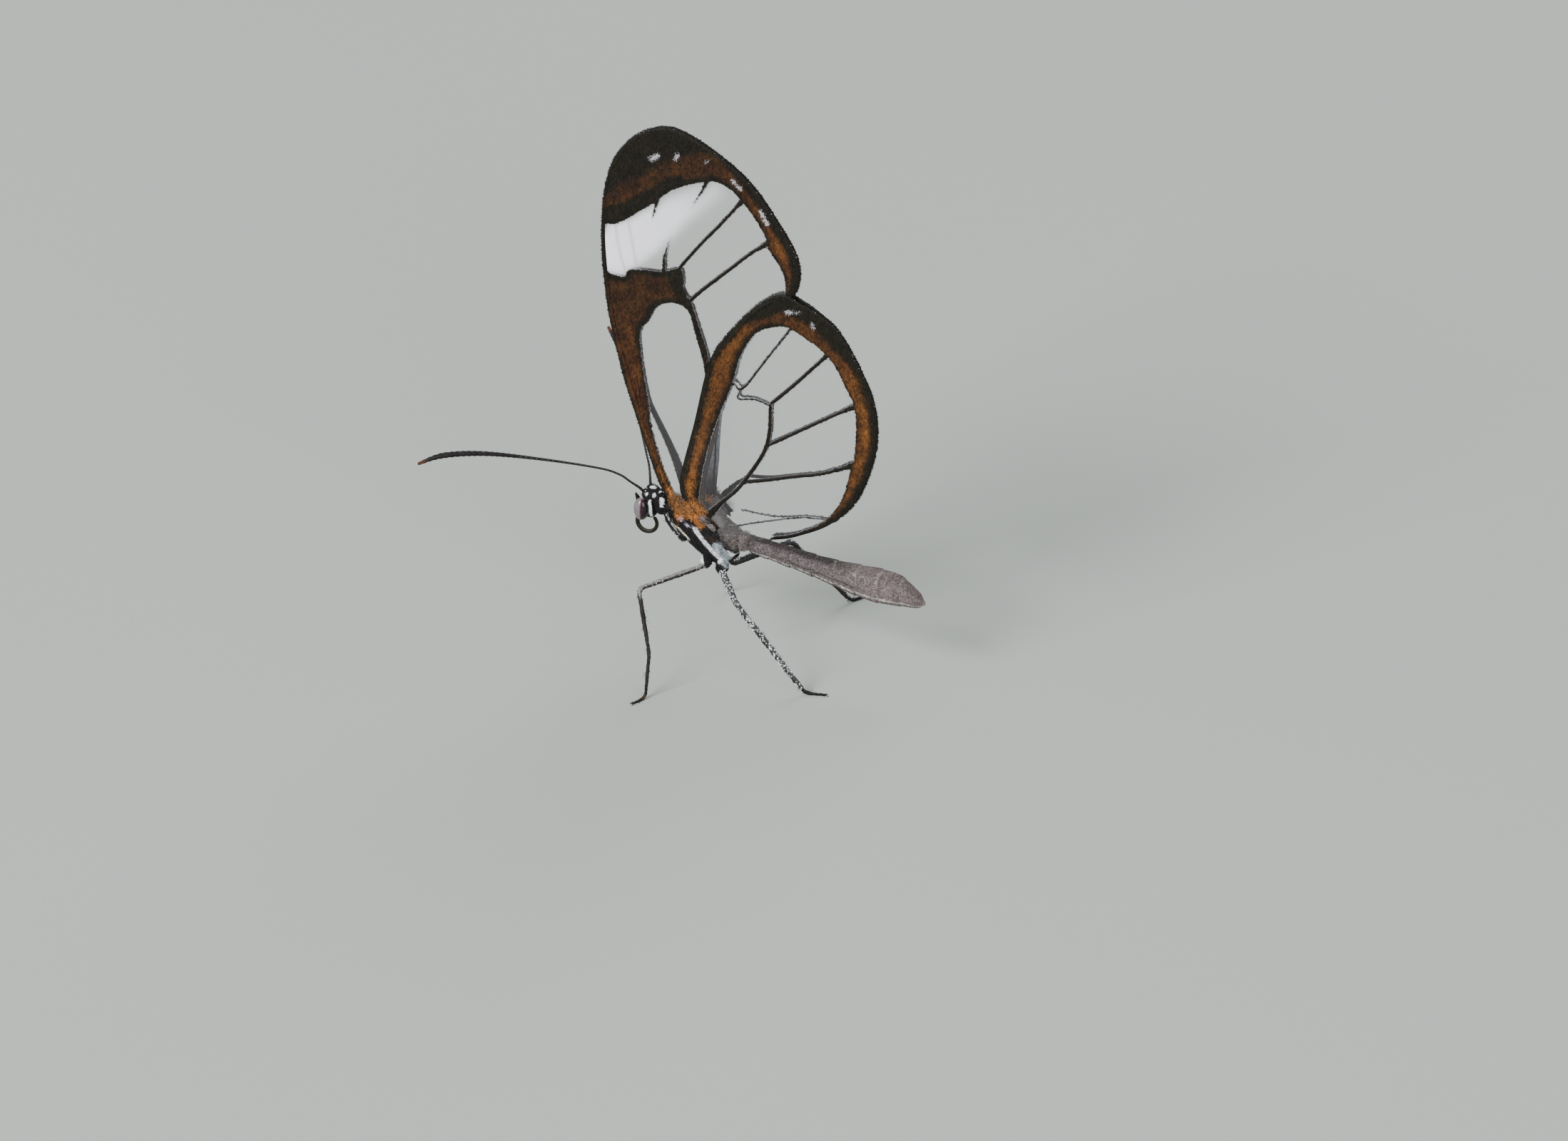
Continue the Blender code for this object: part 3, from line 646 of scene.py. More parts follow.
def noise(tree, place, scale, detail):
    """Cloudy noise from 0 to 1."""
    return add_node(tree, "TexNoise", {"Vector": place, "Scale": scale, "Detail": detail}).outputs["Fac"]


def read(tree, name, output="Fac"):
    """An attribute of the mesh."""
    return add_node(tree, "Attribute", {}, attribute_name=name).outputs[output]


def millimetres(tree, scale=(1.0, 1.0, 1.0)):
    """Object coordinates in millimetres, stretched by scale."""
    place = add_node(tree, "TexCoord", {}).outputs["Object"]
    size = tuple(value / MM for value in scale)
    return add_node(tree, "Mapping", {"Vector": place, "Scale": size}).outputs["Vector"]


def bump(tree, height, distance, strength=1.0):
    """Direction of a surface that a height raises by up to distance."""
    inputs = {"Height": height, "Distance": distance * MM, "Strength": strength}
    return add_node(tree, "Bump", inputs).outputs["Normal"]


def new_group(name, inputs, outputs):
    """Empty shader node group and its inner sockets."""
    tree = bpy.data.node_groups.new(name, "ShaderNodeTree")
    for socket, kind, value in inputs:
        made = tree.interface.new_socket(name=socket, in_out="INPUT", socket_type="NodeSocket" + kind)
        if value is not None:
            made.default_value = value
    for socket, kind in outputs:
        tree.interface.new_socket(name=socket, in_out="OUTPUT", socket_type="NodeSocket" + kind)
    return tree, tree.nodes.new("NodeGroupInput").outputs, tree.nodes.new("NodeGroupOutput").inputs


def use_group(tree, group, inputs):
    """Outputs of a group placed in a material, with its own values."""
    return add_node(tree, "Group", inputs, node_tree=group).outputs


def new_material(name):
    """Material with its node tree and the inputs of its Principled BSDF."""
    material = bpy.data.materials.new(name)
    material.use_nodes = True
    return material, material.node_tree, material.node_tree.nodes["Principled BSDF"].inputs


# Shared effects
def scale_rows_group():
    """Overlapping scales: a height and a shade that changes from scale to scale."""
    inputs = (("Place", "Vector", None), ("Per mm", "Float", 9.0), ("Unevenness", "Float", 0.4))
    tree, given, out = new_group("Scale rows", inputs, (("Height", "Float"), ("Shade", "Float")))
    cells = add_node(tree, "TexVoronoi", {"Vector": given["Place"], "Scale": given["Per mm"]}).outputs
    hue = add_node(tree, "SeparateColor", {"Color": cells["Color"]}).outputs[0]
    strands = noise(tree, given["Place"], 30.0, 2.0)
    dome = maths(tree, "SUBTRACT", 1.0, cells["Distance"])
    varied, fine = [swing(tree, value, given["Unevenness"]) for value in (hue, strands)]
    feed(tree, out, {
        "Height": maths(tree, "ADD", dome, maths(tree, "MULTIPLY", strands, 0.5)),
        "Shade": maths(tree, "ADD", 1.0, maths(tree, "ADD", varied, fine)),
    })
    return tree


def fine_grain_group():
    """Fine uneven surface: a height and a shade."""
    inputs = (("Place", "Vector", None), ("Per mm", "Float", 8.0), ("Unevenness", "Float", 0.3))
    tree, given, out = new_group("Fine grain", inputs, (("Height", "Float"), ("Shade", "Float")))
    grain = noise(tree, given["Place"], given["Per mm"], 4.0)
    varied = swing(tree, grain, given["Unevenness"])
    feed(tree, out, {"Height": grain, "Shade": maths(tree, "ADD", 1.0, varied)})
    return tree


def wing_pattern_group():
    """Bands, windows and spots of a wing from distances in millimetres."""
    inputs = (
        ("Place", "Vector", None), ("Clear", "Float", 0.0), ("Rust", "Float", 0.0),
        ("Hue", "Float", 0.5), ("Spot", "Float", -1.0), ("Silver", "Float", 0.0), ("Shade", "Float", 1.0),
        ("Milk", "Color", (0.6, 0.65, 0.55, 1.0)), ("Milk opacity", "Float", 0.1),
    )
    outputs = (("Color", "Color"), ("Alpha", "Float"), ("Roughness", "Float"), ("Scaled", "Float"))
    tree, given, out = new_group("Wing pattern", inputs, outputs)

    def ragged(value, per_mm, reach):
        return maths(tree, "ADD", value, swing(tree, noise(tree, given["Place"], per_mm, 3.0), reach))

    window = step_between(tree, ragged(given["Clear"], 7.0, 0.22), -0.02, 0.05)
    rusty = step_between(tree, ragged(ragged(given["Rust"], 1.6, 0.4), 9.0, 0.5), -0.2, 0.35)
    patchy = noise(tree, given["Place"], 0.9, 4.0)
    hue = maths(tree, "ADD", given["Hue"], maths(tree, "SUBTRACT", patchy, 0.5))
    warm = mixed(tree, hue, RED_BROWN, ORANGE)
    warm = mixed(tree, step_between(tree, hue, 1.0, 1.5), warm, BRIGHT_ORANGE)
    dark = mixed(tree, patchy, BLACK, OLIVE_BLACK)
    band = mixed(tree, given["Silver"], mixed(tree, rusty, dark, warm), SILVER)
    band = mixed(tree, 1.0, band, given["Shade"], "MULTIPLY")
    speck = step_between(tree, ragged(given["Spot"], 13.0, 0.75), -0.03, 0.14)
    band = mixed(tree, speck, band, SPECK_GREY)
    see = maths(tree, "MULTIPLY", window, maths(tree, "SUBTRACT", 1.0, given["Milk opacity"]))
    feed(tree, out, {
        "Color": mixed(tree, window, band, given["Milk"]),
        "Alpha": maths(tree, "SUBTRACT", 1.0, see),
        "Roughness": maths(tree, "ADD", BAND_ROUGHNESS, maths(tree, "MULTIPLY", window, WINDOW_SMOOTHER)),
        "Scaled": maths(tree, "SUBTRACT", 1.0, window),
    })
    return tree


# Materials
def wing_material(name, rows, pattern):
    """Clear membrane and scaled bands."""
    material, tree, shader = new_material(name)
    tiles = use_group(tree, rows, {
        "Place": millimetres(tree, WING_SCALE_STRETCH), "Per mm": 11.0, "Unevenness": 0.9,
    })
    milk = add_node(tree, "Attribute", {}, attribute_name="milk").outputs
    looks = use_group(tree, pattern, {
        "Place": millimetres(tree), "Shade": tiles["Shade"],
        "Milk": milk["Color"], "Milk opacity": milk["Alpha"],
        **{key.capitalize(): read(tree, key) for key in WING_VALUES},
    })
    feed(tree, shader, {
        "Base Color": looks["Color"], "Alpha": looks["Alpha"], "Roughness": looks["Roughness"],
        "Specular IOR Level": 0.12,
        "Normal": bump(tree, maths(tree, "MULTIPLY", tiles["Height"], looks["Scaled"]), 0.02, 0.7),
    })
    return material


def coat_material(name, rows, grain, roughness=0.65, unevenness=0.5, sheen=0.05):
    """Scaly skin or coat that takes its colour from the mesh."""
    material, tree, shader = new_material(name)
    place = millimetres(tree)
    tiles = use_group(tree, rows, {"Place": place, "Per mm": 8.0, "Unevenness": unevenness})
    specks = use_group(tree, grain, {"Place": place, "Per mm": 2.5, "Unevenness": unevenness})
    shade = maths(tree, "MULTIPLY", tiles["Shade"], specks["Shade"])
    rough = maths(tree, "MULTIPLY", specks["Height"], 0.2)
    feed(tree, shader, {
        "Base Color": mixed(tree, 1.0, read(tree, "coat", "Color"), shade, "MULTIPLY"),
        "Roughness": maths(tree, "ADD", rough, roughness - 0.1),
        "Sheen Weight": sheen, "Specular IOR Level": 0.15,
        "Normal": bump(tree, maths(tree, "ADD", tiles["Height"], specks["Height"]), 0.025),
    })
    return material


def eye_material(name, grain):
    """Glossy eye with a painted mauve-grey reflection in front and its own dark maroon behind, with fine
    facets.
    """
    material, tree, shader = new_material(name)
    place = millimetres(tree)
    along = add_node(tree, "SeparateXYZ", {"Vector": place}).outputs[0]
    specks = use_group(tree, grain, {"Place": place, "Per mm": 5.0, "Unevenness": 0.5})
    wander = maths(tree, "ADD", along, maths(tree, "MULTIPLY", specks["Height"], 0.14))
    middle = EYE_CENTRE[0] + ORIGIN_SHIFT.x
    # The front of the eye carries a painted mauve-grey reflection; behind it lie the eye's own maroon and
    # black
    sheen_tint, front, rear = [step_between(tree, wander, middle + a, middle + b) for a, b in EYE_SHEEN_AND_TONE_STEPS]
    colour = mixed(tree, front, mixed(tree, sheen_tint, EYE_SHEEN_GREY, EYE_SHEEN_LILAC), EYE_MAROON)
    colour = mixed(tree, rear, colour, BLACK)
    facets = add_node(tree, "TexVoronoi", {"Vector": place, "Scale": 26.0}).outputs["Distance"]
    feed(tree, shader, {
        "Base Color": mixed(tree, 1.0, colour, specks["Shade"], "MULTIPLY"),
        "Roughness": maths(tree, "ADD", 0.12, maths(tree, "MULTIPLY", specks["Height"], 0.12)),
        "Normal": bump(tree, maths(tree, "SUBTRACT", 1.0, facets), 0.006, 0.6),
        "Specular IOR Level": 0.3, "Coat Weight": 0.15,
    })
    return material


def floor_material():
    """Pale matt floor with a faint unevenness."""
    material, tree, shader = new_material("pale floor")
    cloud = noise(tree, add_node(tree, "TexCoord", {}).outputs["Object"], 9.0, 3.0)
    feed(tree, shader, {"Base Color": mixed(tree, cloud, FLOOR_DARK, FLOOR_PALE), "Roughness": 0.85})
    return material


# Wings
FORE_RIM = smooth_curve(FORE_OUTLINE, RIM_STEPS, closed=True)
HIND_RIM = smooth_curve(HIND_OUTLINE, RIM_STEPS, closed=True)


def sheet_rest(flat, fall, widest=WIDEST):
    """Distance of a sheet from the middle plane, widest at the root and less with each fall."""
    x, z = flat.T
    reach = np.linalg.norm(flat - np.array(WING_ROOT), axis=1)
    ripple = RIPPLE * np.sin(x * 1.9 + z * 0.35) * np.sin(z * 0.8)
    spread = ROOT_SPREAD * np.exp(-(reach / fall) ** SPREAD_POWER)
    return np.minimum(SHEET_REST + spread + ripple, widest)


def fore_middle(flat):
    """Distance of the forewing sheet from the middle plane; its front edge is turned outwards."""
    turned = soft(1.0 - gap_to(flat, FORE_OUTLINE[:COSTA_POINTS]) / COSTA_REACH)
    raised = WIDEST + COSTA_WIDER * turned * soft((flat[:, 1] - COSTA_FROM) / 1.2)
    return sheet_rest(flat, FORE_FALL + COSTA_FALL * turned, raised)


def hind_middle(flat):
    """Distance of the hindwing sheet from the middle plane, outside the forewing where they overlap."""
    over = soft(1.0 - (-depth_inside(flat, FORE_RIM) - LAYER_CLEAR) / LAYER_FALL)
    return over * (fore_middle(flat) + SHEET_STEP) + (1.0 - over) * sheet_rest(flat, HIND_FALL)


def flat_sheet(rim):
    """Flat points and triangles of a wing outline."""
    low = rim.min(axis=0)
    high = rim.max(axis=0)
    rows = np.arange(low[1], high[1], WING_GRID * 0.87)
    grid = []
    for number, row in enumerate(rows):
        columns = np.arange(low[0] + WING_GRID * 0.5 * (number % 2), high[0], WING_GRID)
        grid.append(np.column_stack([columns, np.full(len(columns), row)]))
    grid = np.vstack(grid)
    grid = grid[depth_inside(grid, rim) > WING_GRID * 0.7]
    points = [Vector(point) for point in np.vstack([rim, grid])]
    edges = [(i, (i + 1) % len(rim)) for i in range(len(rim))]
    result = delaunay_2d_cdt(points, edges, [list(range(len(rim)))], 1, 0.001)
    return np.array([tuple(point) for point in result[0]]), np.array([tuple(face) for face in result[2]])


def vein_room(flat, veins, rim):
    """Distance to the edge of the nearest vein; veins widen towards the wing's margin."""
    widen = 0.11 * (1.0 - soft(depth_inside(flat, rim) / 1.6 - 0.35))
    room = np.full(len(flat), 9.0)
    for half_width, line in veins:
        flare = widen if half_width > FINEST_VEIN else 0.0
        room = np.minimum(room, gap_to(flat, line, 6) - half_width * 0.8 - flare)
    return room


def spot_depth(flat, spots):
    """How deep a point lies in the white specks."""
    return np.max([radius - gap_to(flat, ends) for radius, *ends in spots], axis=0, initial=-1.0)


def fore_rust(flat, window):
    """How deep a point lies in the rusty middle of the forewing's bands, and how orange it is."""
    x, z = flat.T
    hind_side = soft((x + 1.0) / 3.0)
    border = 0.1 + 0.38 * hind_side + 0.14 * soft((13.5 - z) / 3.0)
    inner = 0.1 + 0.28 * soft((z - 16.5) / 4.0) * (1.0 - 0.75 * hind_side)
    gloom = soft((z - 16.0) / 5.0) * (1.0 - 0.7 * hind_side)
    rust = np.min([
        -window - inner, (depth_inside(flat, FORE_RIM) - border) * 1.3,
        -depth_inside(flat, FORE_DARK_TIP) * 0.5, 0.33 - 0.27 * gloom,
        gap_to(flat, FORE_JUNCTION) - 0.75, gap_to(flat, APEX_EDGE) - 0.55,
    ], axis=0)
    hue = 0.08 + 0.85 * soft((15.0 - z) / 5.0) + 0.3 * hind_side * (z < 29.0)
    return rust, hue + 0.6 * soft((10.6 - z) / 1.2)


def fore_milk(flat):
    """Colour and opacity of the forewing's windows: white band, faint veins and grey strip."""
    middle, share = line_distance(flat, WHITE_LINE)
    white = soft((1.65 - 0.9 * share - middle) / 1.5 + 0.5) * (1.0 - 0.72 * share)
    faint = np.max([soft(1.3 - gap_to(flat, line, 4) / 0.09) for line in FAINT_VEINS], axis=0)
    veil = soft(1.3 - gap_to(flat, GREY_STRIP) / 0.3) * soft((18.5 - flat[:, 1]) / 3.0)
    milk = blend_colour(all_same(CLEAR_TINT, len(flat)), WHITE, soft(white * 2.0))
    milk = blend_colour(milk, FAINT_PINK, faint * 0.6)
    milk = blend_colour(milk, VEIL_GREY, veil)
    opacity = CLEAR_ALPHA + (0.98 - CLEAR_ALPHA) * white ** 1.6 + (0.35 - CLEAR_ALPHA) * veil
    return milk, np.clip(opacity, 0.0, 0.97)


def fore_pattern(flat):
    """Markings of the forewing."""
    window = np.maximum(depth_in_window(flat, FORE_CELL), depth_in_window(flat, FORE_OUTER_WINDOW))
    clear = np.minimum(window, vein_room(flat, FORE_VEINS, FORE_RIM))
    for half_width, line in FORE_SPIKES:
        distance, share = line_distance(flat, line)
        clear = np.minimum(clear, distance - half_width * (1.0 - share))
    return clear, *fore_rust(flat, window), spot_depth(flat, FORE_SPOTS), *fore_milk(flat)


def hind_pattern(flat):
    """Markings of the hindwing."""
    x, z = flat.T
    window = depth_in_window(flat, HIND_WINDOW)
    free = soft((3.1 - x) / 0.9) * soft((x + 0.3) / 0.5) * soft((8.2 - z) / 0.3)
    clear = np.minimum(window + 0.6 * free, vein_room(flat, HIND_VEINS, HIND_RIM))
    outer_side = soft((x - 2.6) / 1.5)
    corner = soft((z - 19.0) / 2.0) * soft((x - 1.0) / 2.3)
    border = 0.38 + 0.02 * outer_side + 0.6 * corner
    inner = 0.28 - 0.2 * outer_side
    most = 0.15 + 0.2 * soft((13.0 - z) / 3.0)
    rust = np.min([-window - inner, depth_inside(flat, HIND_RIM) - border, most], axis=0)
    rust -= soft((x + 0.7) / 0.5) * soft((9.6 - z) / 0.6) * (1.0 - outer_side)
    low = soft((14.0 - z) / 5.0) * (1.0 - outer_side)
    streak = soft(1.0 - gap_to(flat, PALE_STREAK) / 0.3)
    hue = 0.5 + 0.65 * low - 0.4 * corner + 0.5 * streak
    hair = soft(1.0 - np.linalg.norm(flat - np.array(HIND_HAIR), axis=1) / 0.7)
    milk = blend_colour(all_same(CLEAR_TINT, len(flat)), HAIR_GREY, hair)
    return clear, rust, hue, spot_depth(flat, HIND_SPOTS), milk, CLEAR_ALPHA + 0.4 * hair


def silver_share(flat):
    """Share of silvery scales on the inner face, along the overlap of the wings."""
    return 0.8 * soft(1.6 - gap_to(flat, SILVER_LINE) / 0.6) * soft((flat[:, 1] - 9.0) / 5.0)


def vein_tube(line, radius, middle, side, sides=8):
    """Points and faces of a slim flattened tube that runs in the sheet."""
    flat = smooth_curve(line, 10)
    centre = middle(flat)
    tangent = np.gradient(flat, axis=0)
    tangent /= np.linalg.norm(tangent, axis=1)[:, None]
    sideways = np.column_stack([-tangent[:, 1], tangent[:, 0]])
    along = np.linspace(0, 1, len(flat))
    radii = radius * (0.35 + 0.65 * soft(along * 12) * soft((1 - along) * 9)) * (1.05 - 0.25 * along)
    points = []
    for index in range(sides):
        turn = 2 * math.pi * index / sides
        place = flat + sideways * (radii * math.cos(turn))[:, None]
        across = centre + 0.75 * radii * math.sin(turn)
        points.append(np.column_stack([place[:, 0], side * across, place[:, 1]]))
    poles = [(flat[k, 0], side * centre[k], flat[k, 1]) for k in (0, -1)]
    points = np.vstack([np.stack(points, axis=1).reshape(-1, 3), poles])
    faces = []
    rows = len(flat)
    for row in range(rows - 1):
        for index in range(sides):
            a = row * sides + index
            b = row * sides + (index + 1) % sides
            faces += [(a, b, b + sides), (a, b + sides, a + sides)]
    for index in range(sides):
        following = (index + 1) % sides
        faces.append((following, index, rows * sides))
        faces.append(((rows - 1) * sides + index, (rows - 1) * sides + following, rows * sides + 1))
    return points, np.array(faces)


def sheet_faces(triangles, count):
    """Faces of a closed sheet: its outer side, its inner side and the walls along its margin."""
    edges = {(a, b) for face in triangles.tolist() for a, b in zip(face, face[1:] + face[:1])}
    walls = []
    for a, b in edges:
        if (b, a) not in edges:
            walls += [(b, a, a + count), (b, a + count, b + count)]
    return [triangles, triangles[:, ::-1] + count, np.array(sorted(walls))]


def make_wing(name, side, sheet, middle, pattern, veins):
    """Closed sheet with raised bands and veins, and the values of its pattern at each point."""
    flat, triangles = sheet
    outside = np.insert(np.column_stack(pattern(flat)), SILVER_COLUMN, 0.0, axis=1)
    inside = outside.copy()
    inside[:, RUST_COLUMN] -= INNER_GLOOM
    inside[:, SILVER_COLUMN] = silver_share(flat)
    centre = middle(flat)
    half = SHEET_THICKNESS / 2 + BAND_THICKNESS / 2 * soft(0.5 - outside[:, CLEAR_COLUMN] / 0.15)
    points = [np.column_stack([flat[:, 0], side * y, flat[:, 1]]) for y in (centre + half, centre - half)]
    faces = sheet_faces(triangles, len(flat))
    values = [outside, inside]
    start = 2 * len(flat)
    for half_width, line in veins:
        tube_points, tube_faces = vein_tube(line, half_width, middle, side)
        place = tube_points[:, [0, 2]]
        behind = side * tube_points[:, 1] < middle(place)
        silver = silver_share(place) * behind * (half_width > WIDE_VEIN)
        looks = np.insert(np.column_stack(pattern(place)), SILVER_COLUMN, silver, axis=1)
        looks[:, CLEAR_COLUMN] = np.minimum(looks[:, CLEAR_COLUMN], -0.2)
        looks[:, RUST_COLUMN] -= INNER_GLOOM * behind
        points.append(tube_points)
        faces.append(tube_faces + start)
        values.append(looks)
        start += len(tube_points)
    piece = mesh_piece(name, np.vstack(points), np.vstack(faces))
    values = np.vstack(values)
    for column, key in enumerate(WING_VALUES):
        write_numbers(piece.data, key, values[:, column])
    write_colours(piece.data, "milk", values[:, 5:8], values[:, 8])
    return piece


# Markings of the body, and one painted highlight: line in (x, z), half width, soft edge, colour, least
# distance from the middle
THORAX_MARKS = (
    (((-3.38, 8.45), (-3.2, 8.2), (-3.0, 7.9), (-2.8, 7.65)), 0.075, 0.04, WHITE, 0.25),
    (((-2.8, 7.95), (-2.3, 7.6), (-1.8, 7.15)), 0.09, 0.05, CREAM, 0.3),
    (((-2.5, 8.35), (-2.3, 8.28)), 0.11, 0.08, DULL_LILAC, 0.5),
    (((-2.0, 8.1), (-1.8, 7.98)), 0.08, 0.06, DULL_LILAC, 0.5),
    (((-0.1, 7.0), (0.25, 6.4), (0.5, 5.95)), 0.24, 0.2, BLUE_GREY, 0.3),
    (((-1.45, 7.95), (-0.95, 7.4), (-0.4, 6.75), (0.1, 6.05)), 0.13, 0.06, PEARL, 0.4),
    # Painted highlight: a white streak along the rear edge of the blue-grey patch
    (((0.5, 6.6), (0.62, 6.2)), 0.1, 0.1, WHITE, 0.3),
    (((-1.2, 6.8), (-0.5, 6.1), (0.3, 5.4)), 0.1, 0.06, BLACK, 0.4),
    (((-0.7, 7.45), (-0.2, 7.3)), 0.14, 0.1, DARK_BROWN, 0.5),
    (((-1.0, 6.0), (-0.9, 5.4)), 0.14, 0.06, WHITE, 0.6),
    (((-2.3, 9.2), (-1.6, 9.0), (-0.9, 8.7)), 0.5, 0.25, FUZZ_ORANGE, 0.3),
    (((-1.5, 8.7), (-1.1, 8.2)), 0.25, 0.15, BRIGHT_ORANGE, 0.5),
    (((-0.5, 8.7), (0.3, 8.2), (0.8, 7.5), (1.3, 7.0)), 0.6, 0.3, BROWN_GREY, 0.0),
)
HEAD_MARKS = (
    (((-4.16, 8.88), (-4.08, 8.45), (-4.11, 7.85)), 0.055, 0.02, WHITE, 0.3),
    (((-3.55, 8.96), (-3.53, 8.85)), 0.115, 0.03, WHITE, 0.15),
    (((-3.52, 8.85), (-3.53, 8.56)), 0.075, 0.03, WHITE, 0.15),
    (((-4.5, 7.6), (-4.1, 7.55)), 0.14, 0.08, CREAM, 0.0),
    (((-4.8, 8.9), (-4.8, 8.0)), 0.12, 0.06, CREAM, 0.0),
)

# White dots of the head: radius, and place with its distance from the middle
HEAD_DOTS = (
    (0.06, (-4.62, 0.17, 9.13)), (0.09, (-4.43, 0.48, 9.15)), (0.11, (-3.98, 0.45, 9.13)),
    (0.05, (-4.37, 0.04, 9.35)), (0.1, (-4.21, 0.06, 9.38)), (0.05, (-4.1, 0.08, 9.36)),
    (0.065, (-3.73, 0.19, 9.28)),
)


def marked_colours(places):
    """Colours of the head and thorax: dots and lines on soft black."""
    aside = np.abs(places[:, 1])
    colours = all_same(SOFT_BLACK, len(places))
    for radius, dot in HEAD_DOTS:
        apart = np.linalg.norm(mirrored(places) - dot, axis=1)
        apart -= 0.6 * apart.min()
        colours = blend_colour(colours, WHITE, soft((radius - apart) / 0.02 + 0.5))
    for marks, low, high in ((HEAD_MARKS, -9.0, -3.35), (THORAX_MARKS, -3.4, 1.7)):
        here = (places[:, 0] > low) & (places[:, 0] < high)
        for line, half_width, edge, colour, least in marks:
            weight = soft((half_width - gap_to(places[:, [0, 2]], line, 4)) / edge + 0.5)
            weight = weight * here * soft((aside - least) / 0.1 + 1.0)
            colours = blend_colour(colours, colour, weight)
    return colours


def abdomen_colours(places):
    """Colours of the abdomen: mauve grey with a dark top, a pale broken line, painted shade along the side
    crease and pale rings.
    """
    x, _, z = places.T
    along, low, high, _ = np.array(ABDOMEN_SECTIONS).T
    low = np.interp(x, along, low)
    high = np.interp(x, along, high)
    height = (z - low) / (high - low)
    colours = all_same(MAUVE_GREY, len(places))
    colours = blend_colour(colours, PALE_MAUVE, soft((x - 5.5) / 4.0))
    top = 1.0 - 0.75 * soft((x - 6.0) / 2.0)
    colours = blend_colour(colours, DARK_TOP, soft((height - 0.8) / 0.15) * top)
    # Painted shade: a dark line along the side crease of the abdomen
    fold_shade = soft(1.0 - np.abs(height - 0.5) / 0.05)
    fold_shade *= soft((x - 3.0) / 1.0) * soft((8.6 - x) / 1.0)
    colours = blend_colour(colours, DARK_BROWN, fold_shade * 0.8)
    broken = 0.6 + 0.4 * np.sin(x * 9.0) * np.sin(x * 3.7 + 1.0)
    colours = blend_colour(colours, PALE_LINE, soft(1.3 - np.abs(height - 0.3) / 0.05) * broken)
    colours = blend_colour(colours, UNDERSIDE, soft((0.1 - height) / 0.1))
    rings = ring_place(x)
    apart = np.abs(rings - np.round(rings))
    pale = soft((x - 5.5) / 3.0) * (height > 0.5)
    return blend_colour(colours, PALE_RING, soft(1.0 - apart / 0.05) * (0.08 + 0.5 * pale))


def body_colours(places):
    """Colours of the skin and coat of the head and trunk."""
    behind = soft((places[:, 0] - 1.1) / 0.5)[:, None]
    return marked_colours(places) * (1.0 - behind) + abdomen_colours(places) * behind


# Skin
def ring_place(x):
    """How many rings of the abdomen lie before x."""
    return (x - ABDOMEN_START) / RING_LENGTH


def section_body(name, sections, shrink):
    """Closed oval body that lies by shrink inside the sections, shaped from a sphere."""
    piece = ball(name, (0, 0, 0), (1, 1, 1), turn=(0, math.pi / 2, 0), segments=36, rings=60)
    rows = smooth_curve(sections, 6)
    places = mesh_points(piece.data)
    x = np.interp(places[:, 0], (-1, 1), (rows[0, 0] + shrink, rows[-1, 0] - shrink))
    low, high, half_width = [np.interp(x, rows[:, 0], rows[:, k]) for k in (1, 2, 3)]
    spread = np.hypot(places[:, 1], places[:, 2])
    end = np.clip(spread / ROUNDED_END, 0.0, 1.0)
    spread = np.maximum(spread, 1e-6)
    across = places[:, 1] / spread * (half_width - shrink) * end
    upward = places[:, 2] / spread * ((high - low) / 2 - shrink) * end
    set_points(piece.data, np.column_stack([x, across, (low + high) / 2 + upward]))
    return piece


def make_skin():
    """One skin over the head, trunk and leg roots, with furrows and the steps of the rings."""
    parts = [section_body(name, sections, shrink) for name, sections, shrink in SKIN_FORMS]
    parts += [ball(name, centre, half) for name, centre, half in SKIN_BALLS]
    for side, _ in SIDES:
        for name, (x, y, z), half, tilt in SKIN_PAIRS:
            parts.append(ball(name, (x, side * y, z), half, (side * tilt, 0, 0)))
    skin = joined(parts)
    apply_modifier(skin, "REMESH", mode="VOXEL", voxel_size=SKIN_VOXEL)
    apply_modifier(skin, "SMOOTH", iterations=4, factor=0.5)
    places = mesh_points(skin.data)
    normals = mesh_points(skin.data, "normal")
    move = np.zeros(len(places))
    for line in THORAX_FURROWS:
        move -= FURROW_DEPTH * np.exp(-(gap_to(places[:, [0, 2]], line) / FURROW_WIDTH) ** 2)
    rings = ring_place(places[:, 0])
    move += np.where(places[:, 0] > RINGS_FROM, RING_RISE * (rings - np.floor(rings) - 0.5), 0.0)
    set_points(skin.data, places + normals * move[:, None])
    write_colours(skin.data, "coat", body_colours(places))
    return skin


# Coat
TUFT_FACES = np.array([
    (0, 2, 1), (0, 1, 4), (0, 4, 3), (1, 2, 5), (1, 5, 4),
    (2, 0, 3), (2, 3, 5), (3, 4, 6), (4, 5, 6), (5, 3, 6),
])
TUFT_PATCH = 0.003
TUFT_UNWRAP = np.array([(-1, -1), (1, -1), (0, -1), (-0.8, 0), (0.8, 0), (0, 0), (0, 1)]) * TUFT_PATCH / 2
TUFT_POINTS = len(TUFT_UNWRAP)


def scattered(mesh, count, weight, random):
    """Evenly random places on a mesh with their outward directions, thinned by weight from 0 to 1."""
    mesh.calc_loop_triangles()
    corners = np.empty(len(mesh.loop_triangles) * 3, dtype=int)
    mesh.loop_triangles.foreach_get("vertices", corners)
    corners = corners.reshape(-1, 3)
    points = mesh_points(mesh)
    normals = mesh_points(mesh, "normal")
    a, b, c = [points[corners[:, k]] for k in range(3)]
    area = np.linalg.norm(np.cross(b - a, c - a), axis=1)
    share = area * weight((a + b + c) / 3)
    chosen = random.choice(len(area), count, p=share / share.sum())
    s, t = random.random(count), random.random(count)
    flip = s + t > 1
    s, t = np.where(flip, 1 - s, s)[:, None], np.where(flip, 1 - t, t)[:, None]
    roots = a[chosen] + (b - a)[chosen] * s + (c - a)[chosen] * t
    first, second, third = [normals[corners[chosen, k]] for k in range(3)]
    return roots, unit(first * (1 - s - t) + second * s + third * t)


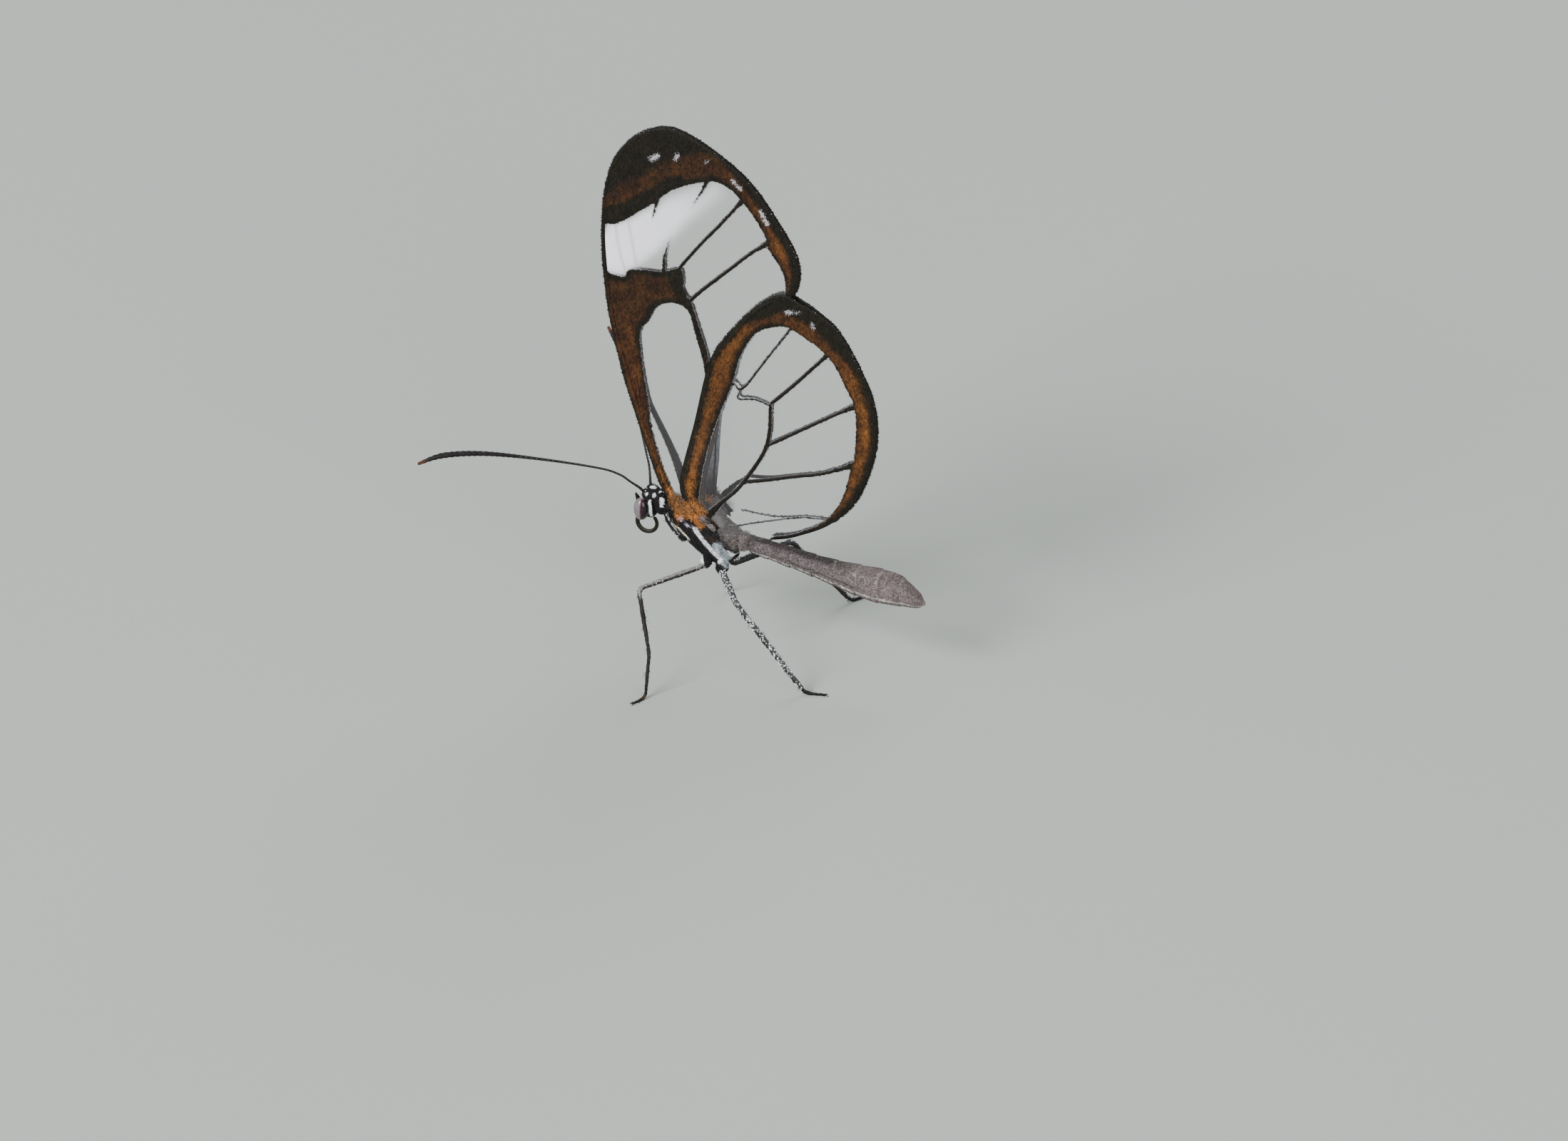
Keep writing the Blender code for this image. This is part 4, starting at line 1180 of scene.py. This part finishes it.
def tufts(name, tuft, random, sink=0.04, uneven=0.35):
    """One mesh of thin tapered tufts that rise from their roots, bend over and follow the lie."""
    roots, normals, lie, length, width, lift, colours, unwrap = tuft
    count = len(roots)
    lie = unit(lie - normals * np.sum(lie * normals, axis=1)[:, None])
    sway = random.normal(0, 0.16, count)[:, None]
    lie = unit(lie + np.cross(normals, lie) * sway)
    across = np.cross(normals, lie)
    length = (length * random.uniform(0.7, 1.15, count))[:, None]
    width = (width * random.uniform(0.8, 1.2, count))[:, None]
    lift = (lift * random.uniform(0.6, 1.3, count))[:, None]
    base = roots - normals * sink
    middle = roots + lie * length * 0.5 + normals * length * lift * 0.62
    tip = roots + lie * length + normals * length * lift * 0.75
    thick = width * 0.35
    corners = [
        base - across * width * 0.5, base + across * width * 0.5, base + normals * thick - lie * thick,
        middle - across * width * 0.45, middle + across * width * 0.45, middle + normals * thick, tip,
    ]
    points = np.stack(corners, axis=1).reshape(-1, 3)
    faces = (TUFT_FACES[None] + TUFT_POINTS * np.arange(count)[:, None, None]).reshape(-1, 3)
    piece = mesh_piece(name, points, faces)
    shade = random.uniform(1.0 - uneven, 1.0 + uneven, count)[:, None]
    write_colours(piece.data, "coat", np.repeat(colours * shade, TUFT_POINTS, axis=0))
    patch = (unwrap[:, None, :] + TUFT_UNWRAP[None]).reshape(-1, 2)
    layer = piece.data.uv_layers.new(name="OFBake")
    corners_used = np.empty(len(piece.data.loops), dtype=int)
    piece.data.loops.foreach_get("vertex_index", corners_used)
    layer.data.foreach_set("uv", patch[corners_used].astype(np.float32).ravel())
    return piece


def body_unwrap(places):
    """Length along the body and turn round it as a square from 0 to 1."""
    x, y, z = places.T
    turn = turn_share(y, z - np.interp(x, *np.array(BODY_MIDDLE).T))
    return np.column_stack([np.clip((x - BODY_START) / BODY_LENGTH, 0, 1), turn])


def head_weight(places):
    """1 on the head outside the eyes, 0 elsewhere."""
    eye = np.linalg.norm((mirrored(places) - mirrored(np.array([EYE_CENTRE]))) / EYE_ROOM, axis=1)
    return ((places[:, 0] < -3.55) & (eye > 1.0)).astype(float)


def thorax_weight(places):
    """1 on the thorax, 0 elsewhere."""
    return ((places[:, 0] > -3.6) & (places[:, 0] < 1.6)).astype(float)


def abdomen_weight(places):
    """1 on the abdomen, 0 elsewhere."""
    return (places[:, 0] > 1.3).astype(float)


# Coats of the body: name, slot, weight, count, length, width, lift, unevenness and lie
BODY_COATS = (
    ("coat_head", "body", head_weight, 6000, 0.08, 0.035, 0.22, 0.12, (0.6, 0.0, 0.8)),
    ("coat_thorax", "body", thorax_weight, 11000, 0.19, 0.05, 0.28, 0.45, (1.0, 0.0, -0.25)),
    ("coat_abdomen", "abdomen", abdomen_weight, 12000, 0.16, 0.06, 0.16, 0.4, (1.0, 0.0, -0.25)),
)


def make_body_coats(skin, material, random):
    """Coats of the head, thorax and abdomen, longer on the back and round the waist."""
    for name, slot, weight, count, length, width, lift, uneven, lie in BODY_COATS:
        roots, normals = scattered(skin.data, count, weight, random)
        x, _, z = roots.T
        hairy = soft((z - 7.6) / 0.8) * (x > -3.3) * (x < 1.6)
        shaggy = soft((x + 0.2) / 0.6) * soft((2.6 - x) / 1.5) * (z > 6.6)
        hairy = np.maximum(hairy, shaggy)
        sizes = (length * (1.0 + 0.9 * hairy), width * (1.0 - 0.35 * hairy), lift * (1.0 + 0.7 * hairy))
        looks = (body_colours(roots), body_unwrap(roots))
        tuft = (roots, normals, all_same(lie, count), *sizes, *looks)
        hand_over(tufts(name, tuft, random, uneven=uneven), material, slot)


# Hair of the wing roots: wing, middle (x, z), reach, colour, lie (x, z) and count
ROOT_HAIR = (
    ("fore", (-2.4, 9.1), 0.6, (0.19, 0.085, 0.03), (-0.4, 1.0), 700),
    ("hind", (-1.4, 8.85), 0.7, (0.28, 0.11, 0.03), (-0.1, 1.0), 1000),
    ("hind", (-1.25, 8.3), 0.4, (0.55, 0.2, 0.07), (0.2, -1.0), 300),
    ("hind", (-0.5, 8.05), 0.3, (0.19, 0.165, 0.155), (1.0, -0.4), 400),
)


def make_root_hair(wings, material, random):
    """Orange and grey hair on the wing roots."""
    parts = []
    for wing in wings:
        for word, centre, reach, colour, lengthwise, count in ROOT_HAIR:
            if not wing.name.startswith(word):
                continue

            def near(places):
                distance = np.hypot(places[:, 0] - centre[0], places[:, 2] - centre[1])
                return soft(1.4 - distance / reach)

            roots, normals = scattered(wing.data, count, near, random)
            lie = all_same((lengthwise[0], 0.0, lengthwise[1]), count)
            colours = all_same(colour, count)
            colours[normals[:, 1] * roots[:, 1] < 0] = INNER_HAIR
            colours *= random.uniform(0.35, 1.35, (count, 1))
            parts.append((roots, normals, lie, 0.12 * near(roots) + 0.1, colours))
    roots, normals, lie, lengths, colours = gathered(parts)
    x, y, z = roots.T
    unwrap = np.column_stack([(x + 8) / 20, (z - 5) / 20 * 0.5 + 0.5 * (y > 0)])
    tuft = (roots, normals, lie, lengths, 0.035, 0.25, colours, unwrap)
    hand_over(tufts("coat_wing_roots", tuft, random, 0.02), material, "wing")


def make_fringe(name, rim, middle, start, end, material, random):
    """Short scales round the free margin of both wings of a pair."""
    line = np.vstack([rim, rim[:1]])
    whole = run_lengths(line)[-1]
    count = int((end - start) * whole / FRINGE_SPACING)
    parts = []
    for side, _ in SIDES:
        at = random.uniform(start, end, count) * whole
        flat = at_lengths(line, at)
        along = unit(at_lengths(line, at + 0.05) - flat)
        outward = np.column_stack([-along[:, 1], along[:, 0]])
        if depth_inside(flat[:1] + outward[:1] * 0.05, rim)[0] > 0:
            outward = -outward
        across = side * (middle(flat) + random.uniform(-0.02, 0.02, count))
        root = flat - outward * 0.06
        roots = np.column_stack([root[:, 0], across, root[:, 1]])
        lie = np.column_stack([outward[:, 0], random.normal(0, 0.1, count), outward[:, 1]])
        normals = all_same((0.0, side, 0.0), count)
        unwrap = np.column_stack([at / whole, np.full(count, 0.25 if side < 0 else 0.75)])
        parts.append((roots, normals, lie, unwrap))
    roots, normals, lie, unwrap = gathered(parts)
    colours = all_same(SOFT_BLACK, len(roots))
    colours[random.random(len(roots)) < 0.04] = PALE_HAIR
    tuft = (roots, normals, lie, 0.15, 0.06, 0.0, colours, unwrap)
    hand_over(tufts(name, tuft, random, 0.0), material, "wing")


# Eyes, mouth parts and feelers
def make_eyes(material):
    """Two bulging eyes."""
    for side, word in SIDES:
        centre = (EYE_CENTRE[0], -side * EYE_CENTRE[1], EYE_CENTRE[2])
        eye = ball("eye_piece_" + word, centre, EYE_HALF, segments=56, rings=40)
        hand_over(eye, material, "eye", "eye_" + word)


def two_coloured(piece, base, colour, weight):
    """Give a piece a base colour, and a second one by weight."""
    colours = blend_colour(all_same(base, len(weight)), colour, weight)
    write_colours(piece.data, "coat", colours)


def make_palps(material):
    """Two slim palps, pale below and dark at the tip."""
    for side, word in SIDES:
        path = smooth_curve([(x, -side * y, z) for x, y, z in PALP_PATH], 6)
        along = np.linspace(0, 1, len(path))
        palp = limb("palp_piece_" + word, path, between(along, PALP_RADII), 12)
        height = mesh_points(palp.data)[:, 2]
        two_coloured(palp, CREAM, SOFT_BLACK, soft((height - PALP_DARK_FROM) / 0.2))
        hand_over(palp, material, "mouth", "palp_" + word)


def make_proboscis(material):
    """Coiled and finely ringed proboscis, dark with an olive stripe on each side that is partly its own
    tint and partly a painted highlight.
    """
    turns = np.linspace(COIL_START, COIL_END, 70)
    along = np.linspace(0, 1, len(turns))
    ripple = 1.0 + 0.04 * np.sin(along * 150)
    radius = COIL_RADIUS * (1.0 - 0.08 * along)
    x = COIL_CENTRE[0] + radius * np.cos(turns)
    z = COIL_CENTRE[2] + radius * np.sin(turns)
    path = np.column_stack([x, np.zeros(len(turns)), z])
    coil = limb("proboscis_piece", path, between(along, COIL_RADII) * ripple, 14)
    # Olive stripe on each side: partly the coil's own olive tint, partly painted highlight
    aside = np.abs(np.abs(mesh_points(coil.data)[:, 1]) - 0.07)
    two_coloured(coil, SOFT_BLACK, OLIVE_TINT_AND_HIGHLIGHT, soft(1.0 - aside / 0.03))
    hand_over(coil, material, "mouth", "proboscis")


def make_feelers(material):
    """Ringed feelers that thicken to a slim club."""
    for word, joints in (("left", LEFT_FEELER), ("right", RIGHT_FEELER)):
        coarse = smooth_curve(joints, 12)
        whole = run_lengths(coarse)[-1]
        at = np.linspace(0, whole, FEELER_SEGMENTS * 5 + 1)
        path = at_lengths(coarse, at)
        along = at / whole
        ring = 1.0 + 0.09 * np.cos(2 * math.pi * along * FEELER_SEGMENTS)
        feeler = limb("antenna_piece_" + word, path, between(along, FEELER_RADII) * ring, 12)
        _, share = line_distance(mesh_points(feeler.data), path[::4])
        colours = blend_colour(all_same(SOFT_BLACK, len(share)), CLUB_BROWN, soft((share - 0.96) / 0.03))
        pale = np.cos(2 * math.pi * share * FEELER_SEGMENTS) > 0.93
        colours = blend_colour(colours, RING_GREY, pale * 0.5 * (share < 0.6))
        write_colours(feeler.data, "coat", colours)
        hand_over(feeler, material, "feeler", "antenna_" + word)


# Legs
def leg_path(joints, radii, bend=0.35, steps=5):
    """Slightly bowed stretches with tight bends at the joints, and radii with full thighs."""
    joints = np.array(joints)
    path = [joints[0]]
    sizes = [radii[0]]
    for index in range(1, len(joints) - 1):
        before, joint, after = joints[index - 1:index + 2]
        reach_in = min(bend, 0.4 * np.linalg.norm(joint - before))
        reach_out = min(bend, 0.4 * np.linalg.norm(after - joint))
        start = joint + (before - joint) / np.linalg.norm(before - joint) * reach_in
        end = joint + (after - joint) / np.linalg.norm(after - joint) * reach_out
        previous = path[-1]
        for step in range(1, 8):
            t = step / 8
            path.append(previous + (start - previous) * t)
            swell = 1.0 + 0.16 * math.sin(math.pi * t)
            sizes.append((radii[index - 1] + (radii[index] - radii[index - 1]) * t) * swell)
        for step in range(steps + 1):
            t = step / steps
            path.append((1 - t) ** 2 * start + 2 * t * (1 - t) * joint + t * t * end)
            sizes.append(radii[index] * (1.0 + 0.15 * math.sin(math.pi * t)))
    previous = path[-1]
    for step in range(1, 7):
        t = step / 6
        path.append(previous + (joints[-1] - previous) * t)
        ring = 1.0 + 0.12 * math.cos(2 * math.pi * t * 3)
        sizes.append((radii[-2] + (radii[-1] - radii[-2]) * t) * ring)
    return np.array(path), np.array(sizes)


def leg_colours(kind, share, upward):
    """Colours along a leg: dark, with a grey or pale upper side where the leg is thick."""
    colours = all_same(SOFT_BLACK if kind == "fore" else LEG_BROWN, len(share))
    if kind == "hind":
        colours = blend_colour(colours, LEG_GREY, soft((upward + 0.1) / 0.5) * (share < 0.8))
        colours = blend_colour(colours, SOFT_BLACK, soft((share - 0.8) / 0.04))
    if kind == "mid":
        colours = blend_colour(colours, LEG_PALE, soft((upward - 0.3) / 0.4) * (share < 0.45))
        colours = blend_colour(colours, SOFT_BLACK, soft((share - 0.72) / 0.08))
        colours = blend_colour(colours, LEG_RUST, soft(1.0 - np.abs(share - 0.86) / 0.04) * 0.6)
    return colours


def claws(path):
    """Pair of small claws at the end of a leg."""
    heading = unit(np.array([path[-1] - path[-3]]))[0]
    pair = []
    for side, _ in SIDES:
        across = np.cross(heading, (0, 0, 1)) * 0.06 * side
        root = path[-1] + across * 0.5
        tip = path[-1] + heading * 0.2 + across * 1.6 + np.array((0, 0, -0.02))
        pair.append(limb("claw", [root, (root + tip) / 2 + (0, 0, 0.05), tip], CLAW_RADII, 8))
    return pair


def leg_scales(leg, name, number, path, random):
    """Scales, pale specks and spines of one leg, ready to be made tufts."""
    kind = name.split("leg")[0]
    count, pale_share, pale_end = LEG_SCALES[kind]
    roots, normals = scattered(leg.data, count, lambda p: np.ones(len(p)), random)
    _, share = line_distance(roots, path)
    index = np.clip((share * (len(path) - 1)).astype(int), 0, len(path) - 2)
    colours = leg_colours(kind, share, normals[:, 2])
    spine = (random.random(count) < 0.035) & (share > 0.45)
    colours[spine] = SOFT_BLACK
    side = 1.0 if name.endswith("right") else -1.0
    outer = normals[:, 1] * side > -0.2
    speck = (random.random(count) < pale_share * outer) & ~spine & (share < pale_end)
    colours[speck] = SCALE_WHITE
    sizes = (
        np.where(spine, 0.22, 0.1), np.where(speck & (kind == "hind"), 0.085, 0.045),
        np.where(spine, 0.9, 0.2),
    )
    turn = turn_share(normals[:, 1], normals[:, 2])
    unwrap = np.column_stack([share, (number + 0.05 + 0.9 * turn) / len(LEGS)])
    return roots, normals, path[index + 1] - path[index], *sizes, colours, unwrap


def make_legs(skin_material, hair_material, random):
    """Legs with claws, spines and a coat of short scales."""
    parts = []
    for number, (name, joints) in enumerate(LEGS.items()):
        kind = name.split("leg")[0]
        path, sizes = leg_path(joints, LEG_RADII[kind])
        leg = limb(name + "_piece", path, sizes, 12)
        if kind != "fore":
            joined([leg, *claws(path)])
        upward = mesh_points(leg.data, "normal")[:, 2]
        keep_on_floor(leg.data)
        _, share = line_distance(mesh_points(leg.data), path)
        write_colours(leg.data, "coat", leg_colours(kind, share, upward))
        parts.append(leg_scales(leg, name, number, path, random))
        hand_over(leg, skin_material, "leg", name)
    coat = tufts("coat_legs", gathered(parts), random, 0.015)
    keep_on_floor(coat.data)
    hand_over(coat, hair_material, "leg")


# Stage
def make_lights(target):
    """Three soft lights that look at the target, and a pale sky."""
    for name, place, size, power in LIGHTS:
        bpy.ops.object.light_add(type="AREA", location=place)
        light = bpy.context.object
        light.name = name
        light.data.size = size
        light.data.energy = power
        light.rotation_euler = (target - Vector(place)).to_track_quat("-Z", "Y").to_euler()
    world = bpy.data.worlds.new("studio")
    world.use_nodes = True
    sky = world.node_tree.nodes["Background"].inputs
    sky["Color"].default_value = SKY_COLOUR
    sky["Strength"].default_value = SKY_STRENGTH
    bpy.context.scene.world = world


def make_camera(target):
    """Camera in the photograph's direction from the target."""
    back = Vector((
        math.sin(CAMERA_TURN) * math.cos(CAMERA_RISE), -math.cos(CAMERA_TURN) * math.cos(CAMERA_RISE),
        math.sin(CAMERA_RISE),
    ))
    bpy.ops.object.camera_add(location=target + back * CAMERA_AWAY)
    camera = bpy.context.object
    camera.name = "camera"
    camera.rotation_euler = back.to_track_quat("Z", "Y").to_euler()
    camera.data.sensor_width = SENSOR
    camera.data.lens = SENSOR * CAMERA_AWAY * PIXELS_PER_MM / MM / PHOTO_WIDTH
    camera.data.clip_start = 0.01
    bpy.context.scene.camera = camera


def make_stage():
    """Pale floor, soft lights and the camera."""
    bpy.ops.mesh.primitive_plane_add(size=FLOOR_SIZE)
    floor = bpy.context.object
    floor.name = "floor"
    floor.data.materials.append(floor_material())
    target = (CAMERA_TARGET + ORIGIN_SHIFT) * MM
    make_lights(target)
    make_camera(target)


# Making of the model
scale_rows = scale_rows_group()
fine_grain = fine_grain_group()
wing_looks = wing_material("clear wing", scale_rows, wing_pattern_group())
skin_looks = coat_material("scaly skin", scale_rows, fine_grain)
coat_looks = coat_material("coat", scale_rows, fine_grain, roughness=0.6)
shell_looks = coat_material("horny shell", scale_rows, fine_grain, roughness=0.4, unevenness=0.4, sheen=0.0)
eye_looks = eye_material("eye", fine_grain)

WING_PAIRS = (
    ("fore", flat_sheet(FORE_RIM), fore_middle, fore_pattern, FORE_VEINS + FORE_RIDGES),
    ("hind", flat_sheet(HIND_RIM), hind_middle, hind_pattern, HIND_VEINS + HIND_RIDGES),
)
wings = []
for side, word in SIDES:
    for pair, *shape in WING_PAIRS:
        wings.append(make_wing(pair + "wing_piece_" + word, side, *shape))

random = np.random.default_rng(SEED)
make_root_hair(wings, coat_looks, random)
for wing in wings:
    hand_over(wing, wing_looks, "wing", wing.name.replace("wing_piece", "wing"))
skin = make_skin()
make_body_coats(skin, coat_looks, random)
hand_over(skin, skin_looks, "body", "head", "thorax", "abdomen")
make_fringe("fringe_fore", FORE_RIM, fore_middle, 0.02, 0.7, coat_looks, random)
make_fringe("fringe_hind", HIND_RIM, hind_middle, 0.2, 0.75, coat_looks, random)
make_eyes(eye_looks)
make_palps(shell_looks)
make_proboscis(shell_looks)
make_feelers(shell_looks)
make_legs(shell_looks, coat_looks, random)
make_stage()

bpy.ops.object.select_all(action="DESELECT")
